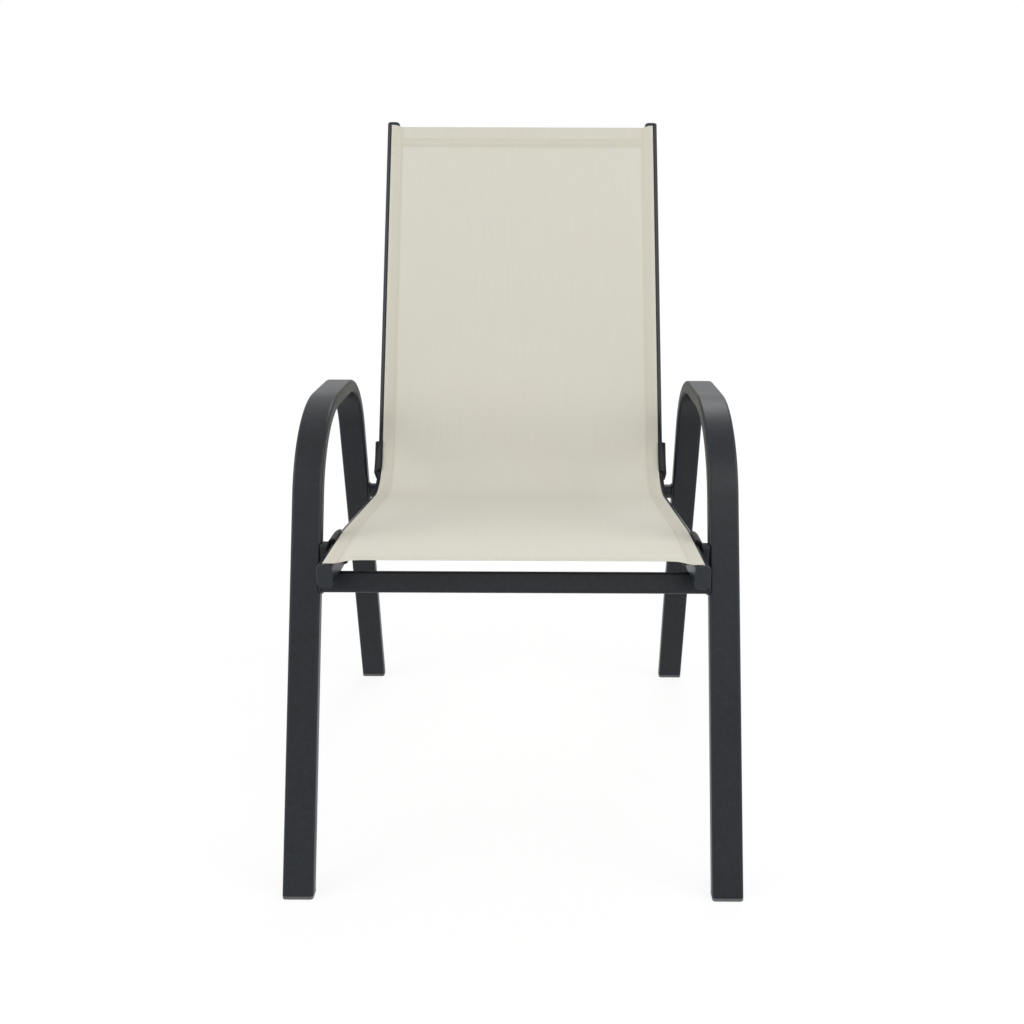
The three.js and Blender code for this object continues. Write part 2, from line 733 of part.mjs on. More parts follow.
// A block between the rail and the front leg, from just above the rail's underside to
// just above its top
function frontSpacer(side) {
  const { at, spacer, spacerEnd } = frontJoint(side);
  const tall = RAIL_DEPTH - SPACER_UNDERCUT + SPACER_ABOVE_RAIL;
  const centreHeight = (SPACER_UNDERCUT + SPACER_ABOVE_RAIL) / 2;
  const boltHeight = CHAMBER_MIDDLE - centreHeight;
  const bore = circleOutline(BOLT_RADIUS + BORE_GAP, new THREE.Path(), boltHeight);
  const outline = withHole(roundedOutline(SPACER_DEEP, tall, SPACER_CORNER), bore);
  const ends = [side * spacer, side * spacerEnd].sort((a, b) => a - b);
  const { y, z } = at(spacer);
  return extrudeAcross(outline, ...ends).translate(0, y, z - boltHeight);
}

// A block between the crossbar and the rail's bend, seated on both
function rearSaddle(side) {
  const { at, heading, span, head, nut } = rearJoint();
  const { centre } = seatBackBend;
  const near = SEAT_BACK_BEND + HALF_RAIL + SEAT_GAP;
  const far = span - REAR_BAR_RADIUS + SADDLE_WRAP;
  const half = Math.asin(SADDLE_HALF_WIDTH / near);
  const middle = heading + degrees(180);
  const outline = new THREE.Shape();
  outline.absarc(centre.y, centre.z, near, middle - half, middle + half, false);
  outline.absarc(centre.y, centre.z, far, middle + half, middle - half, true);
  outline.closePath();
  const block = extrudeAcross(outline, -SADDLE_BREADTH / 2, SADDLE_BREADTH / 2);
  const reach = new THREE.Vector3(FRAME_INNER_X, 0, 0);
  const barMiddle = new THREE.Vector3(0, rearBarMiddle.y, rearBarMiddle.z);
  const seat = rodBetween(barMiddle.clone().sub(reach), barMiddle.add(reach), REAR_BAR_RADIUS + SEAT_GAP);
  return cut(block, inRail(side, seat), rodBetween(at(head), at(nut), BOLT_RADIUS + BORE_GAP));
}

// Fasteners, each along +Z

// A button-head bolt whose head sits below z = 0
function bolt(length) {
  const profile = [];
  const domeSteps = 4;
  for (let step = 0; step <= domeSteps; step += 1) {
    const angle = degrees((90 * step) / domeSteps);
    profile.push(new THREE.Vector2(BOLT_HEAD_RADIUS * Math.sin(angle), -BOLT_HEAD_HEIGHT * Math.cos(angle)));
  }
  profile.push(new THREE.Vector2(BOLT_RADIUS, 0));
  profile.push(new THREE.Vector2(BOLT_RADIUS, length - BOLT_POINT));
  profile.push(new THREE.Vector2(BOLT_RADIUS - BOLT_POINT, length));
  profile.push(new THREE.Vector2(0, length));
  const body = new THREE.LatheGeometry(profile, ROUND_FACETS).rotateX(degrees(90));
  const socket = new THREE.CylinderGeometry(BOLT_SOCKET_RADIUS, BOLT_SOCKET_RADIUS, 2 * BOLT_SOCKET_DEPTH, 6);
  socket.rotateX(degrees(90)).translate(0, 0, -BOLT_HEAD_HEIGHT);
  return cut(body, socket);
}

function washer() {
  const hole = circleOutline(BOLT_RADIUS + BORE_GAP, new THREE.Path());
  return extrudeStraight(withHole(circleOutline(WASHER_RADIUS), hole), WASHER_THICKNESS, CORNER_FACETS + 1);
}

function nut() {
  const outline = new THREE.Shape();
  for (let corner = 0; corner < 6; corner += 1) {
    const angle = degrees(60 * corner);
    outline[corner ? 'lineTo' : 'moveTo'](NUT_RADIUS * Math.sin(angle), NUT_RADIUS * Math.cos(angle));
  }
  outline.closePath();
  return extrudeStraight(withHole(outline, circleOutline(BOLT_RADIUS + BORE_GAP, new THREE.Path())), NUT_HEIGHT);
}

// Assembly

function piece(name, geometry, finish, parent) {
  const mesh = new THREE.Mesh(geometry, new THREE.MeshStandardMaterial(finish));
  mesh.name = name;
  parent.add(mesh);
  return mesh;
}

// Turns a mesh's +Z to an axis and its +Y to what is upright
function place(mesh, point, axis, upright) {
  mesh.position.copy(point);
  const across = upright.clone().cross(axis);
  mesh.quaternion.setFromRotationMatrix(new THREE.Matrix4().makeBasis(across, upright, axis));
}

// The corners of a nut point along what is upright at its joint
function addFasteners(name, joint, parent) {
  const set = {
    bolt: [bolt(joint.tip - joint.head), joint.head],
    washer: [washer(), joint.washer],
    nut: [nut(), joint.nut],
  };
  for (const [kind, [geometry, distance]] of Object.entries(set)) {
    const mesh = piece(`${name}_${kind}`, geometry, steelFinish, parent);
    place(mesh, joint.at(distance), joint.axis, joint.upright);
  }
}

function addFoot(name, side, legY, lean) {
  const foot = piece(name, footPlug(lean), plasticFinish, chair);
  foot.position.set(side * FRAME_CENTRE_X, legY(0), 0);
}

// A cap at an end of a rail, with its stem running along the heading
function addRailCap(name, { y, z, heading }, stemHeading, parent) {
  const cap = piece(name, railCap(), capFinish, parent);
  const upright = new THREE.Vector3(0, -Math.sin(heading), Math.cos(heading));
  const inwards = new THREE.Vector3(0, Math.cos(stemHeading), Math.sin(stemHeading));
  place(cap, new THREE.Vector3(0, y, z), inwards, upright);
}

function addSide(name, side) {
  piece(`${name}_side_frame`, sideFrame(side), frameFinish, chair);
  addFoot(`${name}_front_foot`, side, frontLegY, FRONT_LEG_LEAN);
  addFoot(`${name}_rear_foot`, side, rearLegY, -REAR_LEG_LEAN);
  piece(`${name}_front_spacer`, frontSpacer(side), plasticFinish, chair);
  addFasteners(`${name}_front`, frontJoint(side), chair);

  const rail = new THREE.Group();
  rail.position.x = side * railFrontX;
  rail.rotation.z = side * RAIL_TOE_IN;
  chair.add(rail);
  piece(`${name}_sling_rail`, slingRail(side), frameFinish, rail);
  piece(`${name}_spline`, spline(side), splineFinish, rail);
  piece(`${name}_back_bumper`, backBumper(side), plasticFinish, rail);
  piece(`${name}_seat_bumper`, seatBumper(side), plasticFinish, rail);
  piece(`${name}_rear_saddle`, rearSaddle(side), plasticFinish, rail);
  addFasteners(`${name}_rear`, rearJoint(), rail);
  const front = railPath.at(0);
  const top = railPath.at(railPath.length);
  addRailCap(`${name}_rail_front_cap`, front, front.heading, rail);
  addRailCap(`${name}_rail_top_cap`, top, top.heading + degrees(180), rail);
}

function addCrossbars() {
  const front = piece('front_crossbar', frontCrossbar(), frameFinish, chair);
  front.position.set(0, frontLegY(frontBarZ), frontBarZ);
  front.rotation.x = -FRONT_LEG_LEAN;
  piece('rear_crossbar', rearCrossbar(), frameFinish, chair);
}

const group = new THREE.Group();
const chair = new THREE.Group();
group.add(chair);
addSide('left', LEFT);
addSide('right', RIGHT);
addCrossbars();
piece('sling', slingCloth(), clothFinish, chair);

// Stand the chair on z = 0 with the middle of its box at the origin
chair.updateMatrixWorld(true);
const box = new THREE.Box3().setFromObject(chair, true);
const middle = box.getCenter(new THREE.Vector3());
chair.position.set(-middle.x, -middle.y, -box.min.z);
group.updateMatrixWorld(true);

export default group;
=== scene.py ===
import math
from itertools import accumulate

import bmesh
import bpy
from bpy.props import FloatProperty, FloatVectorProperty, PointerProperty
from mathutils import Matrix, Vector
from mathutils.geometry import tessellate_polygon


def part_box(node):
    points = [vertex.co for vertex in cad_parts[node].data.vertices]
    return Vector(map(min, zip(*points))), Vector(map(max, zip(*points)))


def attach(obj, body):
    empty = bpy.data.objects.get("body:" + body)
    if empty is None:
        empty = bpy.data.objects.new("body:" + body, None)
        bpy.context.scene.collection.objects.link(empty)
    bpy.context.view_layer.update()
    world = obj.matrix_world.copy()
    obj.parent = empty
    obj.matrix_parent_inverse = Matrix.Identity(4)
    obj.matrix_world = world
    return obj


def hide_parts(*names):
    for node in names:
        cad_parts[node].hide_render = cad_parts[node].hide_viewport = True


bl_info = {
    "name": "Sling patio chair",
    "version": (1, 0, 0),
    "blender": (4, 5, 0),
    "location": "View3D > Sidebar > Chair",
    "description": "Tubes, mesh sling, plastic pieces and stage of a stacking patio chair",
    "category": "Object",
}

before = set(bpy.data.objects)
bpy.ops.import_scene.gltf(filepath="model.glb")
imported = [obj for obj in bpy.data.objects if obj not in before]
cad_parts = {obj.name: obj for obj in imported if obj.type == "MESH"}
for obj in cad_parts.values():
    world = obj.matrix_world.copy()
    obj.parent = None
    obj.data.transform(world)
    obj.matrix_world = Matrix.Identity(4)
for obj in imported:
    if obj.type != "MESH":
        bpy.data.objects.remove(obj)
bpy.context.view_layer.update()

ROOT = "root"
LEFT, RIGHT = -1, 1
SIDES = {"left": LEFT, "right": RIGHT}
MM = 0.001
QUARTER = math.pi / 2
SEAT_GAP = 0.3 * MM


# Settings, each labelled after its name, with lengths given in millimetres

def number(value, description, **options):
    return FloatProperty, {"default": value, "description": description, **options}


def length(value, description):
    return number(value * MM, description, unit="LENGTH", subtype="DISTANCE", precision=5)


def angle(value, description):
    return number(math.radians(value), description, unit="ROTATION", subtype="ANGLE")


def colour(value, description):
    options = {"size": 3, "subtype": "COLOR", "min": 0.0, "max": 1.0}
    return FloatVectorProperty, {"default": value, "description": description, **options}


def labelled(group):
    """Turns the rows of a group into properties, each labelled after its name."""
    rows = group.__annotations__
    for key, (kind, options) in rows.items():
        rows[key] = kind(name=key.replace("_", " ").capitalize(), **options)
    return group


@labelled
class SideFrameSettings(bpy.types.PropertyGroup):
    frame_width: length(561, "Across both side frames")
    footprint_depth: length(605, "Front of the front feet to back of the rear feet")
    arm_height: length(557.5, "Ground to the top of the arms")
    front_leg_lean: angle(22.7, "Lean of the front legs from upright")
    rear_leg_lean: angle(9.6, "Lean of the rear legs from upright")
    front_arm_bend: length(155, "Bend radius from front leg to arm")
    rear_arm_bend: length(92, "Bend radius from arm to rear leg")
    leg_breadth: length(38, "Breadth of the flat tube, across the chair")
    leg_thickness: length(18, "Thickness of the flat tube")
    leg_corner: length(4, "Corner radius of the flat tube")
    leg_wall: length(1.4, "Wall of the flat tube")
    foot_sole: length(5, "Height of the sole below the tube")
    foot_stem: length(20, "Height of the plug inside the tube")
    foot_edge: length(1.6, "Rounding of the sole's edge")


@labelled
class RailSettings(bpy.types.PropertyGroup):
    rail_front: length(104, "Front of the rail behind the front of the feet")
    seat_height: length(399, "Ground to the top of the rail at its front")
    seat_level_run: length(112, "Level length at the front of the seat")
    seat_fall: angle(5.4, "Fall of the seat towards the back")
    seat_front_bend: length(320, "Bend radius where the seat starts to fall")
    seat_back_bend: length(90, "Bend radius between seat and back")
    seat_corner_depth: length(505, "Front of the feet to where seat and back lines meet")
    back_recline: angle(23.2, "Lean of the back from upright")
    back_height: length(913, "Ground to the top end of the rail's middle line")
    toe_in: angle(1.5, "Turn of each rail about the vertical")
    rail_breadth: length(19, "Across the rail")
    rail_depth: length(30, "From the cloth side to the far side of the rail")
    rail_corner: length(6.5, "Corner radius of the rail")
    rail_wall: length(1.6, "Wall of the rail")
    groove_slot: length(3, "Width of the slot that the cloth enters")
    groove_lip: length(0.35, "Rounding of the slot's edges")
    groove_radius: length(3.6, "Radius of the round bottom of the groove")
    groove_depth: length(6.2, "Cloth side of the rail to the middle of the groove")
    groove_outboard: length(1, "Middle of the groove outboard of the rail's middle")
    front_gap: length(9.5, "Between a rail and its front leg")
    front_bar_tall: length(27, "Height of the front crossbar's section")
    front_bar_thickness: length(18, "Thickness of the front crossbar's section")
    front_bar_corner: length(4, "Corner radius of the front crossbar")
    rear_bar_radius: length(11, "Radius of the rear crossbar")
    bar_wall: length(1.4, "Wall of the crossbars")
    weld_radius: length(1.7, "Radius of the weld beads")
    saddle_wrap: length(4, "How far the saddle reaches round the rear crossbar")
    saddle_half_width: length(12, "Half the saddle's width along the rail's bend")
    saddle_breadth: length(17, "Across the saddle")
    saddle_edge: length(0.5, "Rounding of the saddle's edges")
    spacer_deep: length(17, "Front to back over the front spacer")
    spacer_above: length(3, "How far the spacer stands above the rail")
    spacer_undercut: length(1, "How far the spacer ends above the rail's underside")
    spacer_corner: length(4, "Corner radius of the spacer")
    spacer_edge: length(0.9, "Rounding of the spacer's edges")
    bumper_thickness: length(5, "Thickness of the stacking pads")
    bumper_edge: length(1.1, "Rounding of the pads' edges")
    bumper_wrap: angle(50, "How far a pad reaches round the rail's lower corner")
    back_bumper_length: length(53, "Length of the pads above the seat corner")
    back_bumper_below: length(32, "Upper end of the bend to the pad's lower end")
    seat_bumper_length: length(36, "Length of the pads behind the front spacers")
    seat_bumper_behind: length(1, "Back of the spacer to the front of the pad")
    cap_rim: length(4, "Thickness of the rail caps")
    cap_stem: length(12, "Depth of a cap's plug in the rail")
    cap_edge: length(1.3, "Rounding of the caps' edges")


@labelled
class SlingSettings(bpy.types.PropertyGroup):
    layer: length(0.6, "Thickness of one layer of the cloth")
    front_margin: length(11, "Cloth behind the rail's front end")
    top_margin: length(5, "Cloth below the rail's top end")
    neck: length(2.2, "Two layers of cloth in the slot of a groove")
    bead_radius: length(3.1, "Cloth round its rod")
    bore_radius: length(2.3, "Hollow for the rod")
    roll_radius: length(1.2, "Radius at which the cloth rolls over the lip")
    seat_sag: length(5, "How far the middle of the seat hangs")
    back_sag: length(3, "How far the middle of the back hangs")
    front_corner: length(12.5, "How far the front corners stand past the front edge")
    top_corner: length(3.5, "How far the top corners stand past the top edge")
    side_hem: length(20.5, "Width of the side hems")
    side_stitch: length(17, "Stitch line inside the side edge")
    front_hem: length(12, "Width of the front hem")
    front_stitch: length(9, "Stitch line inside the front edge")
    top_hem: length(34, "Width of the top hem")
    top_stitch: length(21, "Upper stitch line of the top hem")
    top_stitch_low: length(31, "Lower stitch line of the top hem")
    turn_in: length(5, "Cloth turned in beside each rod")
    weave_pitch: length(1.2, "From one yarn to the next")
    stitch_pitch: length(4, "From one stitch to the next")
    stitch_length: length(3.1, "Length of one stitch")
    thread_radius: length(0.32, "Radius of the sewing thread")
    yarn_colour: colour((0.712, 0.690, 0.612), "Colour of the coated yarns")
    warm_colour: colour((0.715, 0.680, 0.582), "Colour of the yarns in warmer patches")
    # Painted shade in the gaps between the yarns, where they sink
    shade_colour: colour((0.575, 0.548, 0.474), "Colour between the yarns")
    # Painted shade on the hems, where the doubled cloth lets less light through
    hem_tint: colour((0.928, 0.919, 0.889), "What the doubled cloth of a hem does to the colour")
    thread_colour: colour((0.620, 0.598, 0.522), "Colour of the sewing thread")


@labelled
class FinishSettings(bpy.types.PropertyGroup):
    coat_colour: colour((0.0058, 0.0082, 0.0122), "Colour of the tubes")
    coat_roughness: number(0.38, "Roughness of the powder coat", min=0.0, max=1.0)
    dark_colour: colour((0.0050, 0.0056, 0.0066), "Colour of bumpers, spacers and saddles")
    foot_colour: colour((0.125, 0.130, 0.133), "Colour of the feet")
    cap_colour: colour((0.0140, 0.0178, 0.0220), "Colour of the rail caps")
    rod_colour: colour((0.46, 0.45, 0.42), "Colour of the rods in the side hems")
    steel_colour: colour((0.030, 0.032, 0.035), "Colour of the bolts, washers and nuts")


@labelled
class StageSettings(bpy.types.PropertyGroup):
    camera_x: length(30.55, "Camera to the right of the chair's middle")
    camera_y: length(-1395, "Camera behind the chair's middle")
    camera_z: length(830.4, "Camera above the ground")
    camera_pitch: angle(18.112, "How far the camera looks down")
    camera_turn: angle(0.098, "Turn of the camera to the left")
    camera_roll: angle(0.207, "Turn of the camera about its line of sight")
    lens: number(35.435, "Focal length in millimetres")
    shift: number(-0.02531, "Sideways shift of the lens")
    floor_colour: colour((0.86, 0.86, 0.85), "Colour of the floor")
    sky: number(0.53, "Strength of the even light from all sides")
    top_power: number(20.0, "Power of the lamp above and behind", subtype="POWER")
    front_power: number(12.0, "Power of the lamp above and in front", subtype="POWER")
    side_power: number(36.0, "Power of each lamp at the sides", subtype="POWER")


# Fasteners, each along +Z

BOLT_RADIUS = 2.5 * MM
BOLT_POINT = 0.7 * MM
BOLT_TIP = 1.5 * MM
BORE_RADIUS = 2.85 * MM
BORE_PARTS = 32
HEAD_RADIUS = 4.8 * MM
HEAD_HEIGHT = 2.8 * MM
HEAD_EDGE = 0.1 * MM
HEAD_ANGLES = (33, 42, 51, 60, 69, 78, 85, 90)
HEAD_TOP = math.radians(27)
SOCKET_RADIUS = 1.8 * MM
SOCKET_DEPTH = 1.5 * MM
SOCKET_EDGE = 0.08 * MM
SOCKET_FLARE = 1.16
WASHER_RADIUS = 5.2 * MM
WASHER_THICKNESS = 1.2 * MM
WASHER_EDGE = 0.2 * MM
NUT_RADIUS = 4.6 * MM
NUT_HEIGHT = 4.0 * MM
NUT_EDGE = 0.35 * MM
NUT_TURNED = 0.90


class Joint:
    """A bolted joint: its line, and the places of washer, nut and block along it."""

    def __init__(self, origin, axis, upright, washer, nut, block):
        self.origin, self.axis, self.upright = origin, axis, upright
        self.head = washer - SEAT_GAP
        self.washer, self.nut, self.block = washer, nut, block
        self.tip = nut + NUT_HEIGHT + BOLT_TIP

    def at(self, distance):
        return self.origin + self.axis * distance

    def place(self, distance):
        return Matrix.Translation(self.at(distance)) @ axes(self.upright, self.axis)


def axes(second, third):
    """The turn that takes the second and third axis to two directions."""
    return Matrix((second.cross(third), second, third)).transposed().to_4x4()


# Paths in the side plane of the chair

RUN_STEP = 60 * MM
BEND_STEP = math.radians(2.0)
LEAST_STEP = 0.1 * MM
TENTHS_IN_A_METRE = 10000


def ahead(place, heading, distance):
    return place[0] + distance * math.cos(heading), place[1] + distance * math.sin(heading)


def bearing(start, end):
    return math.atan2(end[1] - start[1], end[0] - start[0])


def raised(station, height):
    """A station moved square to its path, which on a rail is towards the sitter."""
    return ahead(station, station[2] + QUARTER, height)


class SidePath:
    """Straight runs joined by bends. Corners are (y, z, bend radius)."""

    def __init__(self, corners):
        self.pieces, self.bends, self.length = [], [], 0.0
        start = corners[0]
        for before, corner, after in zip(corners, corners[1:], corners[2:]):
            heading, leaving, radius = bearing(before, corner), bearing(corner, after), corner[2]
            turn = leaving - heading
            reach = radius * math.tan(abs(turn) / 2)
            bend_start = ahead(corner, heading, -reach)
            self.add_run(start, bend_start)
            sense = math.copysign(1.0, turn)
            centre = ahead(bend_start, heading + sense * QUARTER, radius)
            low = self.length
            self.add(abs(turn) * radius, centre, heading, sense, radius)
            self.bends.append((low, self.length, centre, radius))
            start = ahead(corner, leaving, reach)
        self.add_run(start, corners[-1])

    def add(self, size, place, heading, sense=0, radius=None):
        self.pieces.append((self.length, self.length + size, place, heading, sense, radius))
        self.length += size

    def add_run(self, start, end):
        self.add(math.dist(start[:2], end[:2]), start, bearing(start, end))

    def at(self, distance):
        """The place and heading at a distance along the path, as (y, z, heading)."""
        piece = next((p for p in self.pieces if distance < p[1]), self.pieces[-1])
        low, _, place, heading, sense, radius = piece
        gone = distance - low
        if not sense:
            return *ahead(place, heading, gone), heading
        now = heading + sense * gone / radius
        return *ahead(place, now - sense * QUARTER, radius), now

    def distances(self, start, end, run_step=RUN_STEP, bend_step=BEND_STEP):
        """Distances from start to end, evenly spaced in each run and bend."""
        found = []
        for low, high, _, _, sense, radius in self.pieces:
            size = high - low
            parts = max(1, math.ceil(size / (bend_step * radius if sense else run_step)))
            found += [low + size * part / parts for part in range(1, parts + 1)]
        between = [d for d in found if start + LEAST_STEP < d < end - LEAST_STEP]
        return [start, *between, end]


class Chair:
    """The lines that the pieces share, worked out from the settings."""

    def __init__(self, scene):
        self.sides, self.rail = scene.chair_side_frame, scene.chair_rail
        self.sling, self.finish = scene.chair_sling, scene.chair_finish
        s, r = self.sides, self.rail
        arm_z, below = s.arm_height - s.leg_thickness / 2, -s.leg_thickness
        self.frame_path = SidePath([
            (self.front_leg_y(below), below),
            (self.front_leg_y(arm_z), arm_z, s.front_arm_bend),
            (self.rear_leg_y(arm_z), arm_z, s.rear_arm_bend),
            (self.rear_leg_y(below), below),
        ])
        seat_z = r.seat_height - r.rail_depth / 2
        level_y = r.rail_front + r.seat_level_run
        corner_z = seat_z - (r.seat_corner_depth - level_y) * math.tan(r.seat_fall)
        top_y = r.seat_corner_depth + (r.back_height - corner_z) * math.tan(r.back_recline)
        self.rail_path = SidePath([
            (r.rail_front, seat_z),
            (level_y, seat_z, r.seat_front_bend),
            (r.seat_corner_depth, corner_z, r.seat_back_bend),
            (top_y, r.back_height),
        ])
        self.frame_x = (s.frame_width - s.leg_breadth) / 2
        self.frame_inner_x = s.frame_width / 2 - s.leg_breadth
        self.groove = (r.groove_outboard, r.rail_depth / 2 - r.groove_depth)
        chamber_high = self.groove[1] - r.groove_radius - r.rail_wall
        self.chamber = (r.rail_wall - r.rail_depth / 2, chamber_high)
        self.chamber_middle = sum(self.chamber) / 2
        self.joint_y = self.front_leg_y(seat_z + self.chamber_middle)
        half_breadth = r.rail_breadth / 2 / math.cos(r.toe_in)
        leaned = self.joint_y * math.tan(r.toe_in)
        self.rail_x = self.frame_inner_x - r.front_gap - half_breadth + leaned
        corner = r.front_bar_corner
        tall, thick = r.front_bar_tall / 2 - corner, r.front_bar_thickness / 2 - corner
        lean = s.front_leg_lean
        reach = tall * math.cos(lean) + thick * math.sin(lean) + corner
        self.front_bar_z = seat_z - r.rail_depth / 2 - SEAT_GAP - reach
        low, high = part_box("front_crossbar")
        self.shift = Vector((0, (low.y + high.y) / 2 - self.front_leg_y(self.front_bar_z), 0))

    def front_leg_y(self, z):
        lean = self.sides.front_leg_lean
        return self.sides.leg_thickness / 2 / math.cos(lean) + z * math.tan(lean)

    def rear_leg_y(self, z):
        s, lean = self.sides, self.sides.rear_leg_lean
        return s.footprint_depth - s.leg_thickness / 2 / math.cos(lean) - z * math.tan(lean)

    def distance_at(self, y):
        """The distance along a rail at which it reaches a depth in its own plane."""
        distances = (tenth / TENTHS_IN_A_METRE for tenth in range(TENTHS_IN_A_METRE))
        return next(distance for distance in distances if self.rail_path.at(distance)[0] >= y)

    def front_joint(self, side):
        """The bolt along X through rail, spacer and front leg, with places from x = 0."""
        r, slant = self.rail, math.tan(self.rail.toe_in)
        station = self.rail_path.at(self.distance_at(self.joint_y / math.cos(r.toe_in)))
        inner, outer = (
            self.rail_point(side, station, edge, self.chamber_middle)
            for edge in (-r.rail_breadth / 2, r.rail_breadth / 2)
        )
        lean = self.sides.front_leg_lean
        return Joint(
            origin=Vector((0, inner.y, inner.z)), axis=Vector((side, 0, 0)),
            upright=Vector((0, math.sin(lean), math.cos(lean))),
            washer=abs(inner.x) - SEAT_GAP - WASHER_RADIUS * slant - WASHER_THICKNESS,
            nut=self.frame_inner_x + self.sides.leg_wall + SEAT_GAP,
            block=(
                abs(outer.x) + SEAT_GAP + r.spacer_deep / 2 * slant,
                self.frame_inner_x - SEAT_GAP,
            ),
        )

    def rear_joint(self, side):
        """The bolt from behind through crossbar, saddle and rail, measured from the bar."""
        r = self.rail
        low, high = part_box("rear_crossbar")
        bar = (low + high) / 2 - self.shift
        bar.y /= math.cos(r.toe_in)
        _, _, (y, z), radius = self.rail_path.bends[1]
        across = Vector((0, y - bar.y, z - bar.z))
        axis, span = across.normalized(), across.length
        turn = self.rail_place(side).to_3x3()
        return Joint(
            origin=self.rail_place(side) @ Vector((0, bar.y, bar.z)), axis=turn @ axis,
            upright=turn @ Vector((0, -axis.z, axis.y)),
            washer=-r.rear_bar_radius - SEAT_GAP - WASHER_THICKNESS,
            nut=span - radius - r.rail_depth / 2 + r.rail_wall + 2 * SEAT_GAP,
            block=(span, math.atan2(axis.z, axis.y)),
        )

    def in_chair(self, x=0.0, y=0.0, z=0.0):
        return Matrix.Translation(self.shift + Vector((x, y, z)))

    def rail_place(self, side):
        return self.in_chair(side * self.rail_x) @ Matrix.Rotation(side * self.rail.toe_in, 4, "Z")

    def rail_point(self, side, station, outboard, height):
        return self.rail_place(side) @ Vector((side * outboard, *raised(station, height)))


# Outlines, as lists of (across, height)

FLAT_HOLD = 0.3 * MM
MITRE_LIMIT = 2.0
GROOVE_PARTS = 24


def arc(centre, radius, start, end, parts):
    """Points on an arc, both ends included, with angles in degrees."""
    turns = [math.radians(start + (end - start) * part / parts) for part in range(parts + 1)]
    return [ahead(centre, turn, radius) for turn in turns]


def arcs(*rows):
    """One outline of several arcs."""
    return [point for row in rows for point in arc(*row)]


def rounded_outline(breadth, depth, radius, parts=8):
    """A rounded rectangle, with a point just beside each corner to keep its sides flat."""
    x, y = breadth / 2 - radius, depth / 2 - radius
    points = []
    for sx, sy, start in ((1, 1, 0), (-1, 1, 90), (-1, -1, 180), (1, -1, 270)):
        corner = arc((sx * x, sy * y), radius, start, start + 90, parts)
        before, after = math.radians(start - 90), math.radians(start + 180)
        points.append(ahead(corner[0], before, FLAT_HOLD))
        points += [*corner, ahead(corner[-1], after, FLAT_HOLD)]
    return points


def tube_outlines(breadth, depth, corner, wall):
    """The outer and inner outline of a flat tube."""
    inner = rounded_outline(breadth - 2 * wall, depth - 2 * wall, corner - wall)
    return rounded_outline(breadth, depth, corner), inner


def circle_outline(radius, parts=48, centre=(0.0, 0.0)):
    return arc(centre, radius, 0, 360, parts)[:-1]


def rail_outline(chair, parts=8):
    """The section of a rail, with its keyhole groove, as (outboard, height)."""
    r, lip, corner = chair.rail, chair.rail.groove_lip, chair.rail.rail_corner
    top, half = r.rail_depth / 2, r.groove_slot / 2
    x, y = r.rail_breadth / 2 - corner, top - corner
    mouth = math.degrees(math.asin(half / r.groove_radius))
    return arc((x, y), corner, 0, 90, parts)[:-1] + arcs(
        ((r.groove_outboard + half + lip, top - lip), lip, 90, 180, 3),
        (chair.groove, r.groove_radius, 90 - mouth, mouth - 270, GROOVE_PARTS),
        ((r.groove_outboard - half - lip, top - lip), lip, 0, 90, 3),
        ((-x, y), corner, 90, 180, parts),
        ((-x, -y), corner, 180, 270, parts),
        ((x, -y), corner, 270, 360, parts),
    )


def chamber_outline(chair, clearance=0.0, parts=4):
    """The hollow of a rail below its groove."""
    r = chair.rail
    x = r.rail_breadth / 2 - r.rail_wall - clearance
    low, high = chair.chamber[0] + clearance, chair.chamber[1] - clearance
    upper, lower = r.rail_wall, r.rail_corner - r.rail_wall - clearance
    return arcs(
        ((x - upper, high - upper), upper, 0, 90, parts),
        ((upper - x, high - upper), upper, 90, 180, parts),
        ((lower - x, low + lower), lower, 180, 270, parts),
        ((x - lower, low + lower), lower, 270, 360, parts),
    )


def inset(outline, distance):
    """An outline moved inwards, for rounding an edge. The outline runs anticlockwise."""
    moved = []
    points = [Vector(point) for point in outline]
    for before, here, after in zip(points[-1:] + points, points, points[1:] + points[:1]):
        both = (here - before).normalized() + (after - here).normalized()
        inwards = Vector((-both.y, both.x)).normalized()
        moved.append(tuple(here + inwards * distance * min(MITRE_LIMIT, 2 / both.length)))
    return moved


# Meshes, with the angles in degrees beyond which an edge stays sharp

EDGE_ANGLE = 38.0
STEEL_ANGLE = 30.0
ROUND_ANGLE = 60.0
THREAD_ANGLE = 80.0
WELD_STEP = 0.45 * MM
WELD_PITCH = 2.3 * MM
WELD_RIPPLE = 0.07
WELD_PARTS = 10


def new_piece(name, mesh, material, slot_name, *nodes, limit=EDGE_ANGLE):
    """Links a finished mesh as a piece that rides on the chair and stands for CAD nodes."""
    mesh.name = name
    mesh.shade_smooth()
    mesh.set_sharp_from_angle(angle=math.radians(limit))
    piece = bpy.data.objects.new(name, mesh)
    bpy.context.scene.collection.objects.link(piece)
    if material is not None:
        mesh.materials.append(material)
    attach(piece, ROOT)
    if nodes:
        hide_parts(*nodes)


def loft(sections, matrix=Matrix.Identity(4), round_trip=False):
    """A closed mesh through sections of equal make. A section is a list of loops of points."""
    build = bmesh.new()
    rings = [
        [[build.verts.new(matrix @ Vector(point)) for point in loop] for loop in loops]
        for loops in sections
    ]
    for here, there in zip(rings, rings[1:] + rings[:1] if round_trip else rings[1:]):
        for near, far in zip(here, there):
            for index in range(len(near)):
                after = (index + 1) % len(near)
                build.faces.new((near[index], near[after], far[after], far[index]))
    for ends in () if round_trip else (rings[0], rings[-1]):
        flat = [vertex for loop in ends for vertex in loop]
        for corners in tessellate_polygon([[vertex.co for vertex in loop] for loop in ends]):
            build.faces.new([flat[corner] for corner in corners])
    bmesh.ops.recalc_face_normals(build, faces=build.faces)
    return as_mesh(build)


